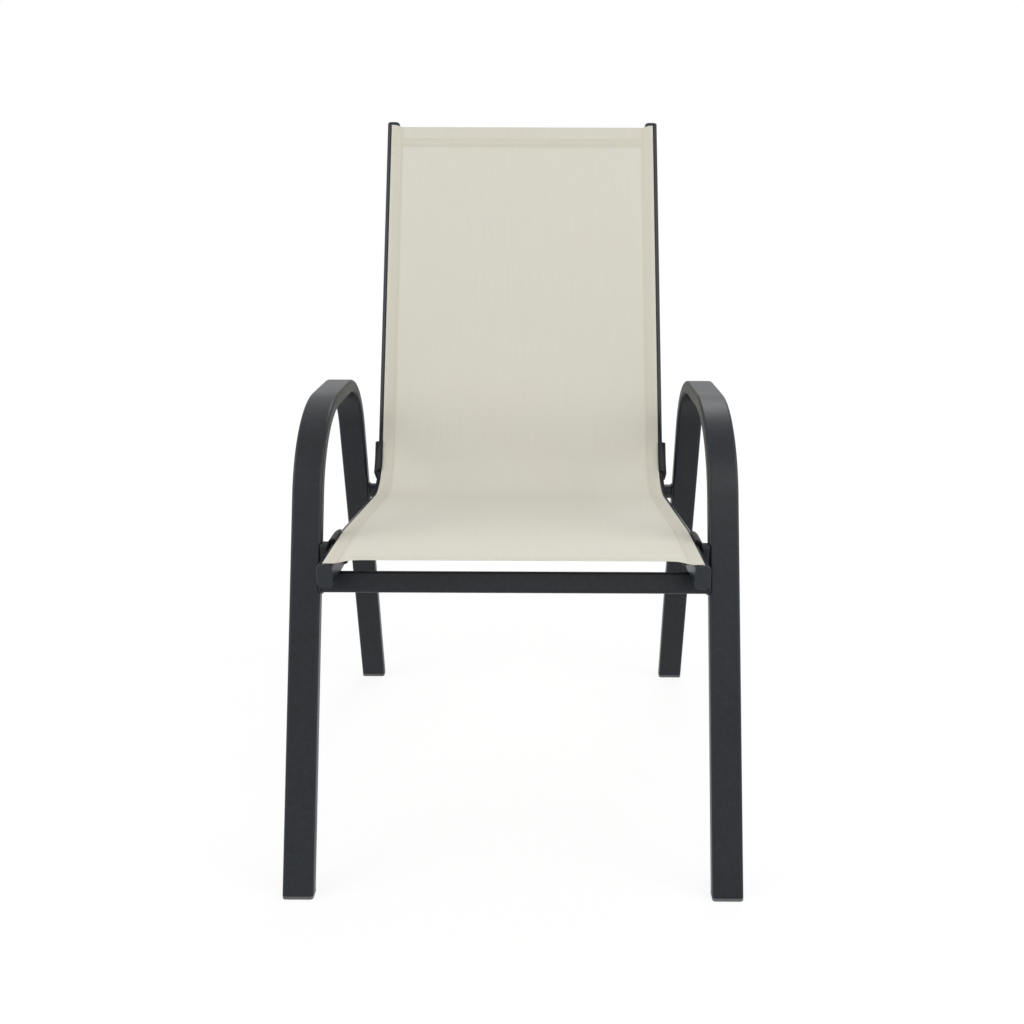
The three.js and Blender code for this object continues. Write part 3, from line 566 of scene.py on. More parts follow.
def as_mesh(build):
    mesh = bpy.data.meshes.new("piece")
    build.to_mesh(mesh)
    build.free()
    return mesh


def joined(meshes):
    """One mesh of several closed meshes."""
    build = bmesh.new()
    for mesh in meshes:
        build.from_mesh(mesh)
        bpy.data.meshes.remove(mesh)
    return as_mesh(build)


def swept_sections(path, distances, outlines, mirror=1):
    """Sections of a sweep along a side path, in its plane."""
    def loop(outline, station):
        return [(mirror * across, *raised(station, height)) for across, height in outline]
    return [[loop(outline, path.at(distance)) for outline in outlines] for distance in distances]


def level_section(outlines, height):
    return [[(x, y, height) for x, y in outline] for outline in outlines]


def cross_section(outlines, x):
    return [[(x, *point) for point in outline] for outline in outlines]


def level_end(section, heading, level):
    """Slides the points of a section along its heading to a level, as a saw cuts a leg."""
    for loop in section:
        loop[:] = [(x, y + (level - z) / math.tan(heading), level) for x, y, z in loop]


def modified(mesh, modifiers, helpers=()):
    """The mesh with modifiers applied. A modifier is its type and its settings or inputs."""
    holder = bpy.data.objects.new("holder", mesh)
    for item in (holder, *helpers):
        bpy.context.scene.collection.objects.link(item)
    for kind, settings in modifiers:
        modifier = holder.modifiers.new(kind.title(), kind)
        for key, value in settings.items():
            if hasattr(modifier, key):
                setattr(modifier, key, value)
            else:
                modifier[key] = value
    graph = bpy.context.evaluated_depsgraph_get()
    made = bpy.data.meshes.new_from_object(holder.evaluated_get(graph), depsgraph=graph)
    for item in (holder, *helpers):
        bpy.data.objects.remove(item)
    return made


def bored(mesh, *rods):
    """The mesh with a round hole along each rod, given as its two ends."""
    if not rods:
        return mesh
    circle = circle_outline(BORE_RADIUS, BORE_PARTS)
    cutters = []
    for start, end in rods:
        turn = (end - start).to_track_quat("Z", "Y").to_matrix().to_4x4()
        sections = [level_section([circle], height) for height in (0.0, (end - start).length)]
        rod = loft(sections, Matrix.Translation(start) @ turn)
        cutters.append(bpy.data.objects.new("bore", rod))
    cut = {"operation": "DIFFERENCE", "solver": "EXACT"}
    return modified(mesh, [("BOOLEAN", {**cut, "object": cutter}) for cutter in cutters], cutters)


def ring(radius, height, reach=None, parts=48):
    """A level ring of points, or a hexagon whose corners are cut off at a share of their reach."""
    points, sixth = [], math.pi / 3
    for part in range(parts):
        turn = 2 * math.pi * part / parts
        flat = math.cos(sixth / 2) / math.cos((turn + sixth / 2) % sixth - sixth / 2)
        size = radius * min(reach, flat) if reach else radius
        points.append((size * math.sin(turn), size * math.cos(turn), height))
    return points


def weld_bead(outline, matrix, radius):
    """A rippled bead round an outline in the second and third axis, at zero on the first."""
    sections, gone, walked = [], 0.0, 0.0
    closed = [Vector(point) for point in [*outline, outline[0]]]
    for here, there in zip(closed, closed[1:]):
        size = (there - here).length
        outwards = Vector((there.y - here.y, here.x - there.x)).normalized()
        while gone < size:
            middle = here.lerp(there, gone / size)
            bulge = radius * (1 + WELD_RIPPLE * math.sin(2 * math.pi * walked / WELD_PITCH))
            circle = circle_outline(bulge, WELD_PARTS)
            sections.append([[(depth, *(middle + outwards * across)) for across, depth in circle]])
            gone += WELD_STEP
            walked += WELD_STEP
        gone -= size
    return loft(sections, matrix, round_trip=True)


def plate_sections(outline, low, high, edge, parts=4, both=True, bore=None):
    """Sections of a plate with rounded edges, from low to high along the third axis."""
    rows = arc((edge, low + edge), edge, 270, 180, parts)
    if both:
        rows += [(side, low + high - rise) for side, rise in reversed(rows)]
    else:
        rows.append((0.0, high))
    bores = [bore] if bore else []
    return [level_section([inset(outline, side), *bores], height) for side, height in rows]


# Shader and geometry nodes

MIX_FIRST, MIX_SECOND, MIX_RESULT = 6, 7, 2
WHITE = (1.0, 1.0, 1.0, 1.0)


def expression(operation, reflected=False):
    """A method that adds a Math node."""
    def method(self, *others):
        values = (*others, self) if reflected else (self, *others)
        return self.sheet.add("ShaderNodeMath", {"operation": operation}, dict(enumerate(values)))
    return method


class Value:
    """A socket that can be used in Python expressions."""

    def __init__(self, sheet, socket):
        self.sheet, self.socket = sheet, socket

    __add__ = __radd__ = expression("ADD")
    __mul__ = __rmul__ = expression("MULTIPLY")
    __sub__, __rsub__ = expression("SUBTRACT"), expression("SUBTRACT", reflected=True)
    __truediv__ = expression("DIVIDE")
    floor, fraction, cosine, root = map(expression, ("FLOOR", "FRACT", "COSINE", "SQRT"))
    most = expression("MAXIMUM")


class NodeSheet:
    """A node tree, written as expressions."""

    def __init__(self, owner):
        self.owner = owner
        if hasattr(owner, "use_nodes"):
            owner.use_nodes = True
        self.tree = getattr(owner, "node_tree", owner)
        self.tree.nodes.clear()

    def add(self, kind, settings=None, inputs=None, output=0):
        """A node of a type, with its settings set first, then its sockets' values or links."""
        node = self.tree.nodes.new(kind)
        for key, value in (settings or {}).items():
            setattr(node, key, value)
        for key, value in (inputs or {}).items():
            if isinstance(value, Value):
                self.tree.links.new(value.socket, node.inputs[key])
            else:
                node.inputs[key].default_value = value
        return Value(self, node.outputs[output]) if node.outputs else None

    def place(self):
        return self.add("ShaderNodeTexCoord", output="Object")

    def noise(self, vector, scale, detail, roughness):
        inputs = {"Vector": vector, "Scale": scale, "Detail": detail, "Roughness": roughness}
        return self.add("ShaderNodeTexNoise", {"noise_dimensions": "3D"}, inputs)

    def mix(self, factor, first, second, blend="MIX"):
        """A colour between two colours, or multiplied by a tint as far as the factor says."""
        first, second = (c if isinstance(c, Value) else (*c, 1.0) for c in (first, second))
        settings = {"data_type": "RGBA", "blend_type": blend}
        inputs = {0: factor, MIX_FIRST: first, MIX_SECOND: second}
        return self.add("ShaderNodeMix", settings, inputs, MIX_RESULT)

    def between(self, value, low, high, floor=0.0, top=1.0):
        """A value's place between two limits, as a number from floor to top."""
        limits = {"From Min": low, "From Max": high, "To Min": floor, "To Max": top}
        return self.add("ShaderNodeMapRange", {"clamp": True}, {"Value": value, **limits})

    def bump(self, height, distance, strength):
        inputs = {"Height": height, "Distance": distance, "Strength": strength}
        return self.add("ShaderNodeBump", None, inputs)

    def seen(self):
        """1 for what the camera sees, by itself or in metal and glass."""
        camera, glossy, through = (
            self.add("ShaderNodeLightPath", output=f"Is {kind} Ray")
            for kind in ("Camera", "Glossy", "Transmission")
        )
        return camera.most(glossy).most(through)

    def surface(self, **inputs):
        """Ends a material in a Principled shader. Names use _ for the spaces of its sockets."""
        inputs = {key.replace("_", " "): value for key, value in inputs.items()}
        self.end(self.add("ShaderNodeBsdfPrincipled", None, inputs))
        return self.owner

    def end(self, shader, kind="Material"):
        self.add(f"ShaderNodeOutput{kind}", None, {"Surface": shader})


def made_once(builder):
    """Keeps one material for each name, so that every piece of a kind shares it."""
    def get(settings, *kind):
        name = "_".join([*kind, builder.__name__, "look"])
        made = bpy.data.materials.get(name)
        return made or builder(settings, NodeSheet(bpy.data.materials.new(name)), *kind)
    return get


def shades(values, *factors):
    return [tuple(min(1.0, value * factor) for value in values) for factor in factors]


# Grains of the finishes, as the scale, detail and roughness of a noise

PEEL = (900.0, 2.0, 0.45)
SPECK = (3200.0, 1.0, 0.5)
CLOUD = (9.0, 3.0, 0.55)
MOTTLE = (170.0, 4.0, 0.6)
SPARK_GRAIN = (1400.0, 3.0, 0.6)
SCUFF = (60.0, 4.0, 0.6)
TURNED_GRAIN = (2200.0, 3.0, 0.7)
WEAR = (300.0, 3.0, 0.6)
STREAK = (260.0, 4.0, 0.65)
PATCH = (7.0, 3.0, 0.5)
TWIST = (4200.0, 2.0, 0.6)
PLASTIC_ROUGHNESS = {"dark": 0.55, "foot": 0.5, "cap": 0.48, "rod": 0.5}


@made_once
def powder_coat(finish, sheet):
    """Charcoal powder coat: a fine orange-peel skin with a soft sheen."""
    place, rough = sheet.place(), finish.coat_roughness
    peel, speck, cloud, mottle = (
        sheet.noise(place, *grain) for grain in (PEEL, SPECK, CLOUD, MOTTLE)
    )
    dark, pale, fleck = shades(finish.coat_colour, 0.60, 1.45, 1.9)
    base = sheet.mix(sheet.between(cloud * 0.4 + mottle * 0.6, 0.38, 0.62), dark, pale)
    return sheet.surface(
        Base_Color=sheet.mix(sheet.between(speck, 0.62, 0.75, 0.0, 0.35), base, fleck),
        Roughness=sheet.between(cloud, 0.3, 0.7, rough - 0.04, rough + 0.05),
        Normal=sheet.bump(peel * 0.8 + speck * 0.2, 0.12 * MM, 0.55), IOR=1.4,
    )


@made_once
def plastic(finish, sheet, kind):
    """Moulded plastic: a fine spark-eroded grain and slightly scuffed roughness."""
    place, rough = sheet.place(), PLASTIC_ROUGHNESS[kind]
    grain, scuff = sheet.noise(place, *SPARK_GRAIN), sheet.noise(place, *SCUFF)
    dark, pale = shades(getattr(finish, f"{kind}_colour"), 0.9, 1.15)
    return sheet.surface(
        Base_Color=sheet.mix(sheet.between(scuff, 0.35, 0.7), dark, pale),
        Roughness=sheet.between(scuff, 0.3, 0.7, rough - 0.06, rough + 0.06),
        Normal=sheet.bump(grain, 0.1 * MM, 0.6), IOR=1.4,
    )


@made_once
def black_steel(finish, sheet):
    """Black plated steel with a faint turned grain."""
    place = sheet.place()
    grain, wear = sheet.noise(place, *TURNED_GRAIN), sheet.noise(place, *WEAR)
    return sheet.surface(
        Base_Color=sheet.mix(sheet.between(wear, 0.5, 0.8), *shades(finish.steel_colour, 1.0, 2.4)),
        Roughness=sheet.between(grain, 0.3, 0.7, 0.30, 0.44), Metallic=0.85,
        Normal=sheet.bump(grain, 0.04 * MM, 0.5),
    )


@made_once
def sewing_thread(sling, sheet):
    """Twisted sewing thread."""
    twist = sheet.noise(sheet.place(), *TWIST)
    dark, pale = shades(sling.thread_colour, 0.82, 1.12)
    return sheet.surface(
        Base_Color=sheet.mix(sheet.between(twist, 0.35, 0.65), dark, pale),
        Roughness=0.7, Normal=sheet.bump(twist, 0.1 * MM, 0.6),
    )


YARN_CROWN = 0.92
YARN_ROUND = 0.6
YARN_LIFT = 0.26
STREAK_STRETCH = (1.0, 0.045, 0.0)


@made_once
def sling_cloth(sling, sheet):
    """Coated mesh cloth: round yarns in a plain weave, with faint streaks along the length.
    The attribute cloth_place holds the place across and along, and how much painted shade a hem
    gets."""
    place = sheet.add("ShaderNodeAttribute", {"attribute_name": "cloth_place"}, output="Vector")
    # layers is the share of painted hem shade
    across, along, layers = (
        sheet.add("ShaderNodeSeparateXYZ", None, {0: place}, axis) for axis in range(3)
    )
    u, v = across / sling.weave_pitch, along / sling.weave_pitch

    def yarn(beside, before, lift_sign):
        """The height of the yarns that lie side by side along one direction."""
        off = (beside.fraction() - 0.5) * 2.0
        crown = (1.0 - off * off * YARN_CROWN).most(0.0).root()
        lift = ((before - 0.5 + beside.floor()) * math.pi).cosine()
        return crown * YARN_ROUND + lift * (lift_sign * YARN_LIFT)

    height = yarn(u, v, 1).most(yarn(v, u, -1))
    stretch = {0: place, 1: STREAK_STRETCH}
    stretched = sheet.add("ShaderNodeVectorMath", {"operation": "MULTIPLY"}, stretch)
    streak, patch = sheet.noise(stretched, *STREAK), sheet.noise(place, *PATCH)
    dark, pale = shades(sling.yarn_colour, 0.982, 1.015)
    yarns = sheet.mix(sheet.between(streak, 0.34, 0.68), dark, pale)
    warm = sheet.mix(sheet.between(patch, 0.35, 0.68, 0.0, 0.4), yarns, sling.warm_colour)
    # Painted shade in the gaps between the yarns: darker where the yarns sink
    woven = sheet.mix(sheet.between(height, 0.15, 0.72), sling.shade_colour, warm)
    return sheet.surface(
        # Painted shade darkens the hems, where the doubled cloth lets less light through
        Base_Color=sheet.mix(layers, woven, sling.hem_tint, "MULTIPLY"),
        Roughness=sheet.between(height, 0.2, 0.8, 0.72, 0.55),
        Normal=sheet.bump(height, 0.22 * MM, 0.8), IOR=1.45,
        Sheen_Weight=0.08, Sheen_Roughness=0.5,
    )


# Pieces, with the slot and the material of each kind

LOOKS = {
    "coat": ("frame_steel", powder_coat),
    "dark": ("dark_plastic", plastic, "dark"),
    "foot": ("dark_plastic", plastic, "foot"),
    "cap": ("cap_plastic", plastic, "cap"),
    "steel": ("fastener_steel", black_steel),
}

# Turns that stand a flat outline up across the chair
STANDING = {side: Matrix(((0, 0, side), (1, 0, 0), (0, 1, 0))).to_4x4() for side in SIDES.values()}


class ChairOperator:
    """What the operators share. Parts give a piece's name, its CAD node and its mesh."""

    bl_options = {"REGISTER", "UNDO"}
    look, limit = "dark", EDGE_ANGLE

    def execute(self, context):
        self.build(Chair(context.scene))
        return {"FINISHED"}

    def build(self, chair):
        for name, side in SIDES.items():
            for piece, node, mesh in self.parts(chair, side):
                self.add(chair, f"{name}_{piece}", mesh, f"{name}_{node}")

    def add(self, chair, name, mesh, *nodes, limit=None):
        slot_name, builder, *kind = LOOKS[self.look]
        material = builder(chair.finish, *kind)
        new_piece(name, mesh, material, slot_name, *nodes, limit=limit or self.limit)


class CHAIR_OT_side_frames(ChairOperator, bpy.types.Operator):
    """Bends the flat tubes that make front leg, arm and rear leg"""

    bl_idname = "chair.side_frames"
    bl_label = "Side Frames"
    look = "coat"

    def parts(self, chair, side):
        s, path, joint = chair.sides, chair.frame_path, chair.front_joint(side)
        outlines = tube_outlines(s.leg_breadth, s.leg_thickness, s.leg_corner, s.leg_wall)
        sections = swept_sections(path, path.distances(0.0, path.length), outlines)
        for end, distance in ((0, 0.0), (-1, path.length)):
            level_end(sections[end], path.at(distance)[2], s.foot_sole + SEAT_GAP)
        mesh = loft(sections, chair.in_chair(side * chair.frame_x))
        rod = (joint.at(joint.block[0]), joint.at(chair.frame_x))
        yield "bent_frame", "side_frame", bored(mesh, rod)


class CHAIR_OT_rails(ChairOperator, bpy.types.Operator):
    """Bends the grooved rails that hold the cloth"""

    bl_idname = "chair.rails"
    bl_label = "Sling Rails"
    look = "coat"
    steps = (50 * MM, math.radians(2.5))

    def parts(self, chair, side):
        path, front, rear = chair.rail_path, chair.front_joint(side), chair.rear_joint(side)
        distances = path.distances(0.0, path.length, *self.steps)
        outlines = (rail_outline(chair), chamber_outline(chair))
        mesh = loft(swept_sections(path, distances, outlines, side), chair.rail_place(side))
        rods = (front.at(front.head), front.at(front.nut)), (rear.at(0.0), rear.at(rear.nut))
        yield "grooved_rail", "sling_rail", bored(mesh, *rods)


class CHAIR_OT_crossbars(ChairOperator, bpy.types.Operator):
    """Makes the front crossbar, the rear crossbar and their welds"""

    bl_idname = "chair.crossbars"
    bl_label = "Crossbars"
    look = "coat"

    def build(self, chair):
        r, reach = chair.rail, chair.frame_inner_x - SEAT_GAP
        size = (r.front_bar_thickness, r.front_bar_tall, r.front_bar_corner, r.bar_wall)
        place = chair.in_chair(0.0, chair.front_leg_y(chair.front_bar_z), chair.front_bar_z)
        lean = Matrix.Rotation(-chair.sides.front_leg_lean, 4, "X")
        round_tube = [circle_outline(r.rear_bar_radius - wall) for wall in (0.0, r.bar_wall)]
        middle = Matrix.Translation(sum(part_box("rear_crossbar"), Vector()) / 2)
        joints = [chair.rear_joint(side) for side in SIDES.values()]
        bores = [(joint.at(joint.head), joint.at(-joint.head)) for joint in joints]
        bars = {
            "front": (tube_outlines(*size), place @ lean, ()), "rear": (round_tube, middle, bores)
        }
        for name, (outlines, matrix, rods) in bars.items():
            mesh = loft([cross_section(outlines, x) for x in (-reach, reach)], matrix)
            self.add(chair, f"{name}_cross_tube", bored(mesh, *rods), f"{name}_crossbar")
        beads = [
            weld_bead(outlines[0], matrix @ Matrix.Translation((end, 0, 0)), r.weld_radius)
            for end in (-reach, reach) for outlines, matrix, _ in bars.values()
        ]
        self.add(chair, "crossbar_welds", joined(beads), limit=ROUND_ANGLE)


class CHAIR_OT_feet(ChairOperator, bpy.types.Operator):
    """Makes the plugs in the feet of the legs"""

    bl_idname = "chair.feet"
    bl_label = "Feet"
    look = "foot"

    def parts(self, chair, side):
        s = chair.sides
        fit = s.leg_wall + SEAT_GAP
        legs = {
            "front": (chair.front_leg_y, s.front_leg_lean),
            "rear": (chair.rear_leg_y, -s.rear_leg_lean),
        }
        for end, (leg_y, lean) in legs.items():
            breadth, thickness, corner = s.leg_breadth, s.leg_thickness, s.leg_corner
            slant, cut = math.tan(lean), 1 / math.cos(lean)
            outline = rounded_outline(breadth, thickness * cut, corner)
            stem = rounded_outline(breadth - 2 * fit, (thickness - 2 * fit) * cut, corner - fit)
            leaned = [(x, y + slant * s.foot_stem) for x, y in stem]
            sections = [
                *plate_sections(outline, 0.0, s.foot_sole, s.foot_edge, parts=5, both=False),
                level_section([stem], s.foot_sole),
                level_section([leaned], s.foot_sole + s.foot_stem),
            ]
            place = chair.in_chair(side * chair.frame_x, leg_y(0) + s.foot_sole * slant)
            yield f"{end}_foot_plug", f"{end}_foot", loft(sections, place)


class CHAIR_OT_caps(ChairOperator, bpy.types.Operator):
    """Makes the plugs in the ends of the rails"""

    bl_idname = "chair.caps"
    bl_label = "Rail Caps"
    look = "cap"

    def parts(self, chair, side):
        r, path = chair.rail, chair.rail_path
        outline = rounded_outline(r.rail_breadth, r.rail_depth, r.rail_corner)
        low, high = -r.cap_rim - SEAT_GAP, -SEAT_GAP
        rim = plate_sections(outline, low, high, r.cap_edge, parts=5, both=False)
        ends = (high - r.cap_rim / 2, r.cap_stem)
        stem = [level_section([chamber_outline(chair, SEAT_GAP)], depth) for depth in ends]
        for end, distance, sense in (("front", 0.0, 1), ("top", path.length, -1)):
            y, z, heading = path.at(distance)
            upright = Vector((0, -math.sin(heading), math.cos(heading)))
            inwards = Vector((0, math.cos(heading), math.sin(heading))) * sense
            there = Matrix.Translation((0, y, z)) @ axes(upright, inwards)
            place = chair.rail_place(side) @ there
            mesh = joined([loft(rim, place), loft(stem, place)])
            yield f"{end}_rail_plug", f"rail_{end}_cap", mesh


class CHAIR_OT_bumpers(ChairOperator, bpy.types.Operator):
    """Makes the stacking pads on the rails"""

    bl_idname = "chair.bumpers"
    bl_label = "Bumpers"
    steps = (20 * MM, math.radians(3))
    bevel = {"segments": 4, "limit_method": "ANGLE", "angle_limit": math.radians(50)}

    def parts(self, chair, side):
        r, path = chair.rail, chair.rail_path
        x, y = r.rail_breadth / 2 - r.rail_corner, r.rail_depth / 2 - r.rail_corner
        inner, wrap = r.rail_corner + SEAT_GAP, math.degrees(r.bumper_wrap)
        outer = inner + r.bumper_thickness
        outline = arcs(
            ((x, y), outer, 90, 0, 8), ((x, -y), outer, 0, -wrap, 5),
            ((x, -y), inner, -wrap, 0, 5), ((x, y), inner, 0, 90, 8),
        )
        seat_y = chair.joint_y + r.spacer_deep / 2 + r.seat_bumper_behind
        pads = {
            "back": (path.bends[1][1] - r.back_bumper_below, r.back_bumper_length),
            "seat": (chair.distance_at(seat_y / math.cos(r.toe_in)), r.seat_bumper_length),
        }
        for kind, (start, size) in pads.items():
            distances = path.distances(start, start + size, *self.steps)
            mesh = loft(swept_sections(path, distances, (outline,), side), chair.rail_place(side))
            mesh = modified(mesh, [("BEVEL", {**self.bevel, "width": r.bumper_edge})])
            yield f"{kind}_pad", f"{kind}_bumper", mesh


class CHAIR_OT_spacers(ChairOperator, bpy.types.Operator):
    """Makes the blocks between rails and front legs, and between rails and rear crossbar"""

    bl_idname = "chair.spacers"
    bl_label = "Spacers"

    def parts(self, chair, side):
        # The saddles keep the number in their names, by which the exported table lists them
        yield "leg_spacer", "front_spacer", self.spacer(chair, side)
        yield "bar_saddle.001", "rear_saddle", self.saddle(chair, side)

    def spacer(self, chair, side):
        r, joint = chair.rail, chair.front_joint(side)
        tall = r.rail_depth - r.spacer_undercut + r.spacer_above
        bolt_height = chair.chamber_middle - (r.spacer_undercut + r.spacer_above) / 2
        outline = rounded_outline(r.spacer_deep, tall, r.spacer_corner)
        bore = circle_outline(BORE_RADIUS, BORE_PARTS, (0.0, bolt_height))
        low, high = joint.block
        middle = Matrix.Translation(joint.at(low) - Vector((0, 0, bolt_height)))
        sections = plate_sections(outline, 0.0, high - low, r.spacer_edge, bore=bore)
        return loft(sections, middle @ STANDING[side])

    def saddle(self, chair, side):
        """A block seated on the bend of the rail and on the crossbar, with its bolt hole."""
        r, joint = chair.rail, chair.rear_joint(side)
        span, heading = joint.block
        _, _, centre, radius = chair.rail_path.bends[1]
        near = radius + r.rail_depth / 2 + SEAT_GAP
        far = span - r.rear_bar_radius + r.saddle_wrap
        reach = r.saddle_breadth / 2
        seat = r.rear_bar_radius + SEAT_GAP + reach * math.tan(r.toe_in)
        middle = math.degrees(heading) + 180
        half = math.degrees(math.asin(r.saddle_half_width / near))
        meet, wrap = (
            math.degrees(math.acos((a ** 2 + span ** 2 - b ** 2) / (2 * a * span)))
            for a, b in ((far, seat), (seat, far))
        )
        outline = arcs(
            (centre, far, middle - half, middle - meet, 3),
            (ahead(centre, heading, -span), seat, middle + 180 + wrap, middle + 180 - wrap, 14),
            (centre, far, middle + meet, middle + half, 3),
            (centre, near, middle + half, middle - half, 10),
        )
        sections = plate_sections(outline, -reach, reach, r.saddle_edge)
        mesh = loft(sections, chair.rail_place(side) @ STANDING[RIGHT])
        return bored(mesh, (joint.at(joint.head), joint.at(joint.nut)))


class CHAIR_OT_fasteners(ChairOperator, bpy.types.Operator):
    """Makes the bolts, washers and nuts, and gives the rods in the hems their finish"""

    bl_idname = "chair.fasteners"
    bl_label = "Fasteners"
    look, limit = "steel", STEEL_ANGLE

    def build(self, chair):
        for name in SIDES:
            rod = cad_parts[f"{name}_spline"]
            rod.material_slots[0].material = plastic(chair.finish, "rod")
        super().build(chair)

    def parts(self, chair, side):
        joints = {"front": chair.front_joint(side), "rear": chair.rear_joint(side)}
        for end, joint in joints.items():
            made = {
                "bolt": (self.bolt(joint.tip - joint.head), joint.head),
                "washer": (self.washer(), joint.washer),
                "nut": (self.nut(), joint.nut),
            }
            for kind, (sections, distance) in made.items():
                yield f"{end}_{kind}_steel", f"{end}_{kind}", loft(sections, joint.place(distance))

    def bolt(self, size):
        """A button head with a hexagonal socket, and its shank."""
        top = -HEAD_HEIGHT * math.cos(HEAD_TOP)
        turns = [math.radians(angle) for angle in HEAD_ANGLES]
        rows = [
            (SOCKET_RADIUS, top + SOCKET_DEPTH, 1.0), (SOCKET_RADIUS, top + SOCKET_EDGE, 1.0),
            (SOCKET_RADIUS * SOCKET_FLARE, top),
            *((HEAD_RADIUS * math.sin(turn), -HEAD_HEIGHT * math.cos(turn)) for turn in turns),
            (HEAD_RADIUS - HEAD_EDGE, 0.0), (BOLT_RADIUS, 0.0),
            (BOLT_RADIUS, size - BOLT_POINT), (BOLT_RADIUS - BOLT_POINT, size),
        ]
        return [[ring(*row)] for row in rows]

    def washer(self):
        rim, bore = circle_outline(WASHER_RADIUS), circle_outline(BORE_RADIUS)
        return plate_sections(rim, 0.0, WASHER_THICKNESS, WASHER_EDGE, bore=bore)

    def nut(self):
        """A hexagon nut with turned corners."""
        rows = (
            (0.0, NUT_TURNED), (NUT_EDGE, 1.0),
            (NUT_HEIGHT - NUT_EDGE, 1.0), (NUT_HEIGHT, NUT_TURNED),
        )
        return [[ring(NUT_RADIUS, z, reach), ring(BORE_RADIUS, z)] for z, reach in rows]


# Cloth, with places in millimetres from its edges

HEM_COLUMNS = (
    2, 4, 7, 10, 12.5, 14.4, 15.4, 16, 16.5, 17, 17.5, 18, 18.7, 19.6, 20.1, 20.8, 22, 25, 31,
)
MIDDLE_PARTS = 34
FRONT_ROWS = (
    0, 0.08, 0.25, 0.6, 2, 4, 6, 7.1, 7.8, 8.4, 9, 9.6, 10.2, 11, 11.6, 12.2, 14, 18, 24, 31,
)
TOP_ROWS = (
    0, 0.08, 0.25, 0.6, 2, 5, 9, 13, 17, 18.6, 19.6, 20.3, 21, 21.7, 22.4, 23.5, 26, 28.6, 29.6,
    30.3, 31, 31.7, 32.4, 33.4, 33.8, 34.4, 36.5, 40,
)
CLOTH_STEP = 6.5 * MM
CLOTH_BEND_STEP = math.radians(3.2)
OPEN_CLOTH = 100 * MM
LOWER, UPPER = 0, 1

# How far in from the side, and how far along, the corners stand past the ends
FRONT_CORNER = (10 * MM, 36 * MM)
TOP_CORNER = (6 * MM, 15 * MM)
FRONT_RUN = 70 * MM
TOP_RUN = 60 * MM

# Depth and half width of the dents along the stitch lines
SIDE_DIP = (0.22 * MM, 0.9 * MM)
END_DIP = (0.42 * MM, 1.1 * MM)

HEM_EDGE = 0.5 * MM
HEM_RISE = 0.12 * MM
LEAST_ROUND = 0.12

# Painted shade on the hems, where the doubled cloth lets less light through: its share at the
# folded side edge and in the grooves, over the top hem and over the front hem, the span over which
# it eases off towards the folded side edge, and the fade into the shaded band of the top hem
FOLD_HEM_SHADE = 0.45
TOP_HEM_SHADE = 0.35
FRONT_HEM_SHADE = 0.3
FOLD_SHADE_EASE = (2 * MM, 8 * MM)
SHADE_BAND_FADE = 3 * MM

ROLL_START = 80
BEAD_PARTS = 18
BORE_SIDES = 12
NECK_FLARE = ((0.0, 0.5 * MM), (0.15 * MM, 0.12 * MM), (0.5 * MM, 0.0))


def fade(value, near, far):
    """1 up to near, 0 from far, and smooth between them."""
    gone = max(0.0, min(1.0, (value - near) / (far - near)))
    return 1 - gone * gone * (3 - 2 * gone)


def dent(off, depth, width):
    return depth * math.exp(-((off / width) ** 2))


def in_metres(places):
    return [place * MM for place in places]


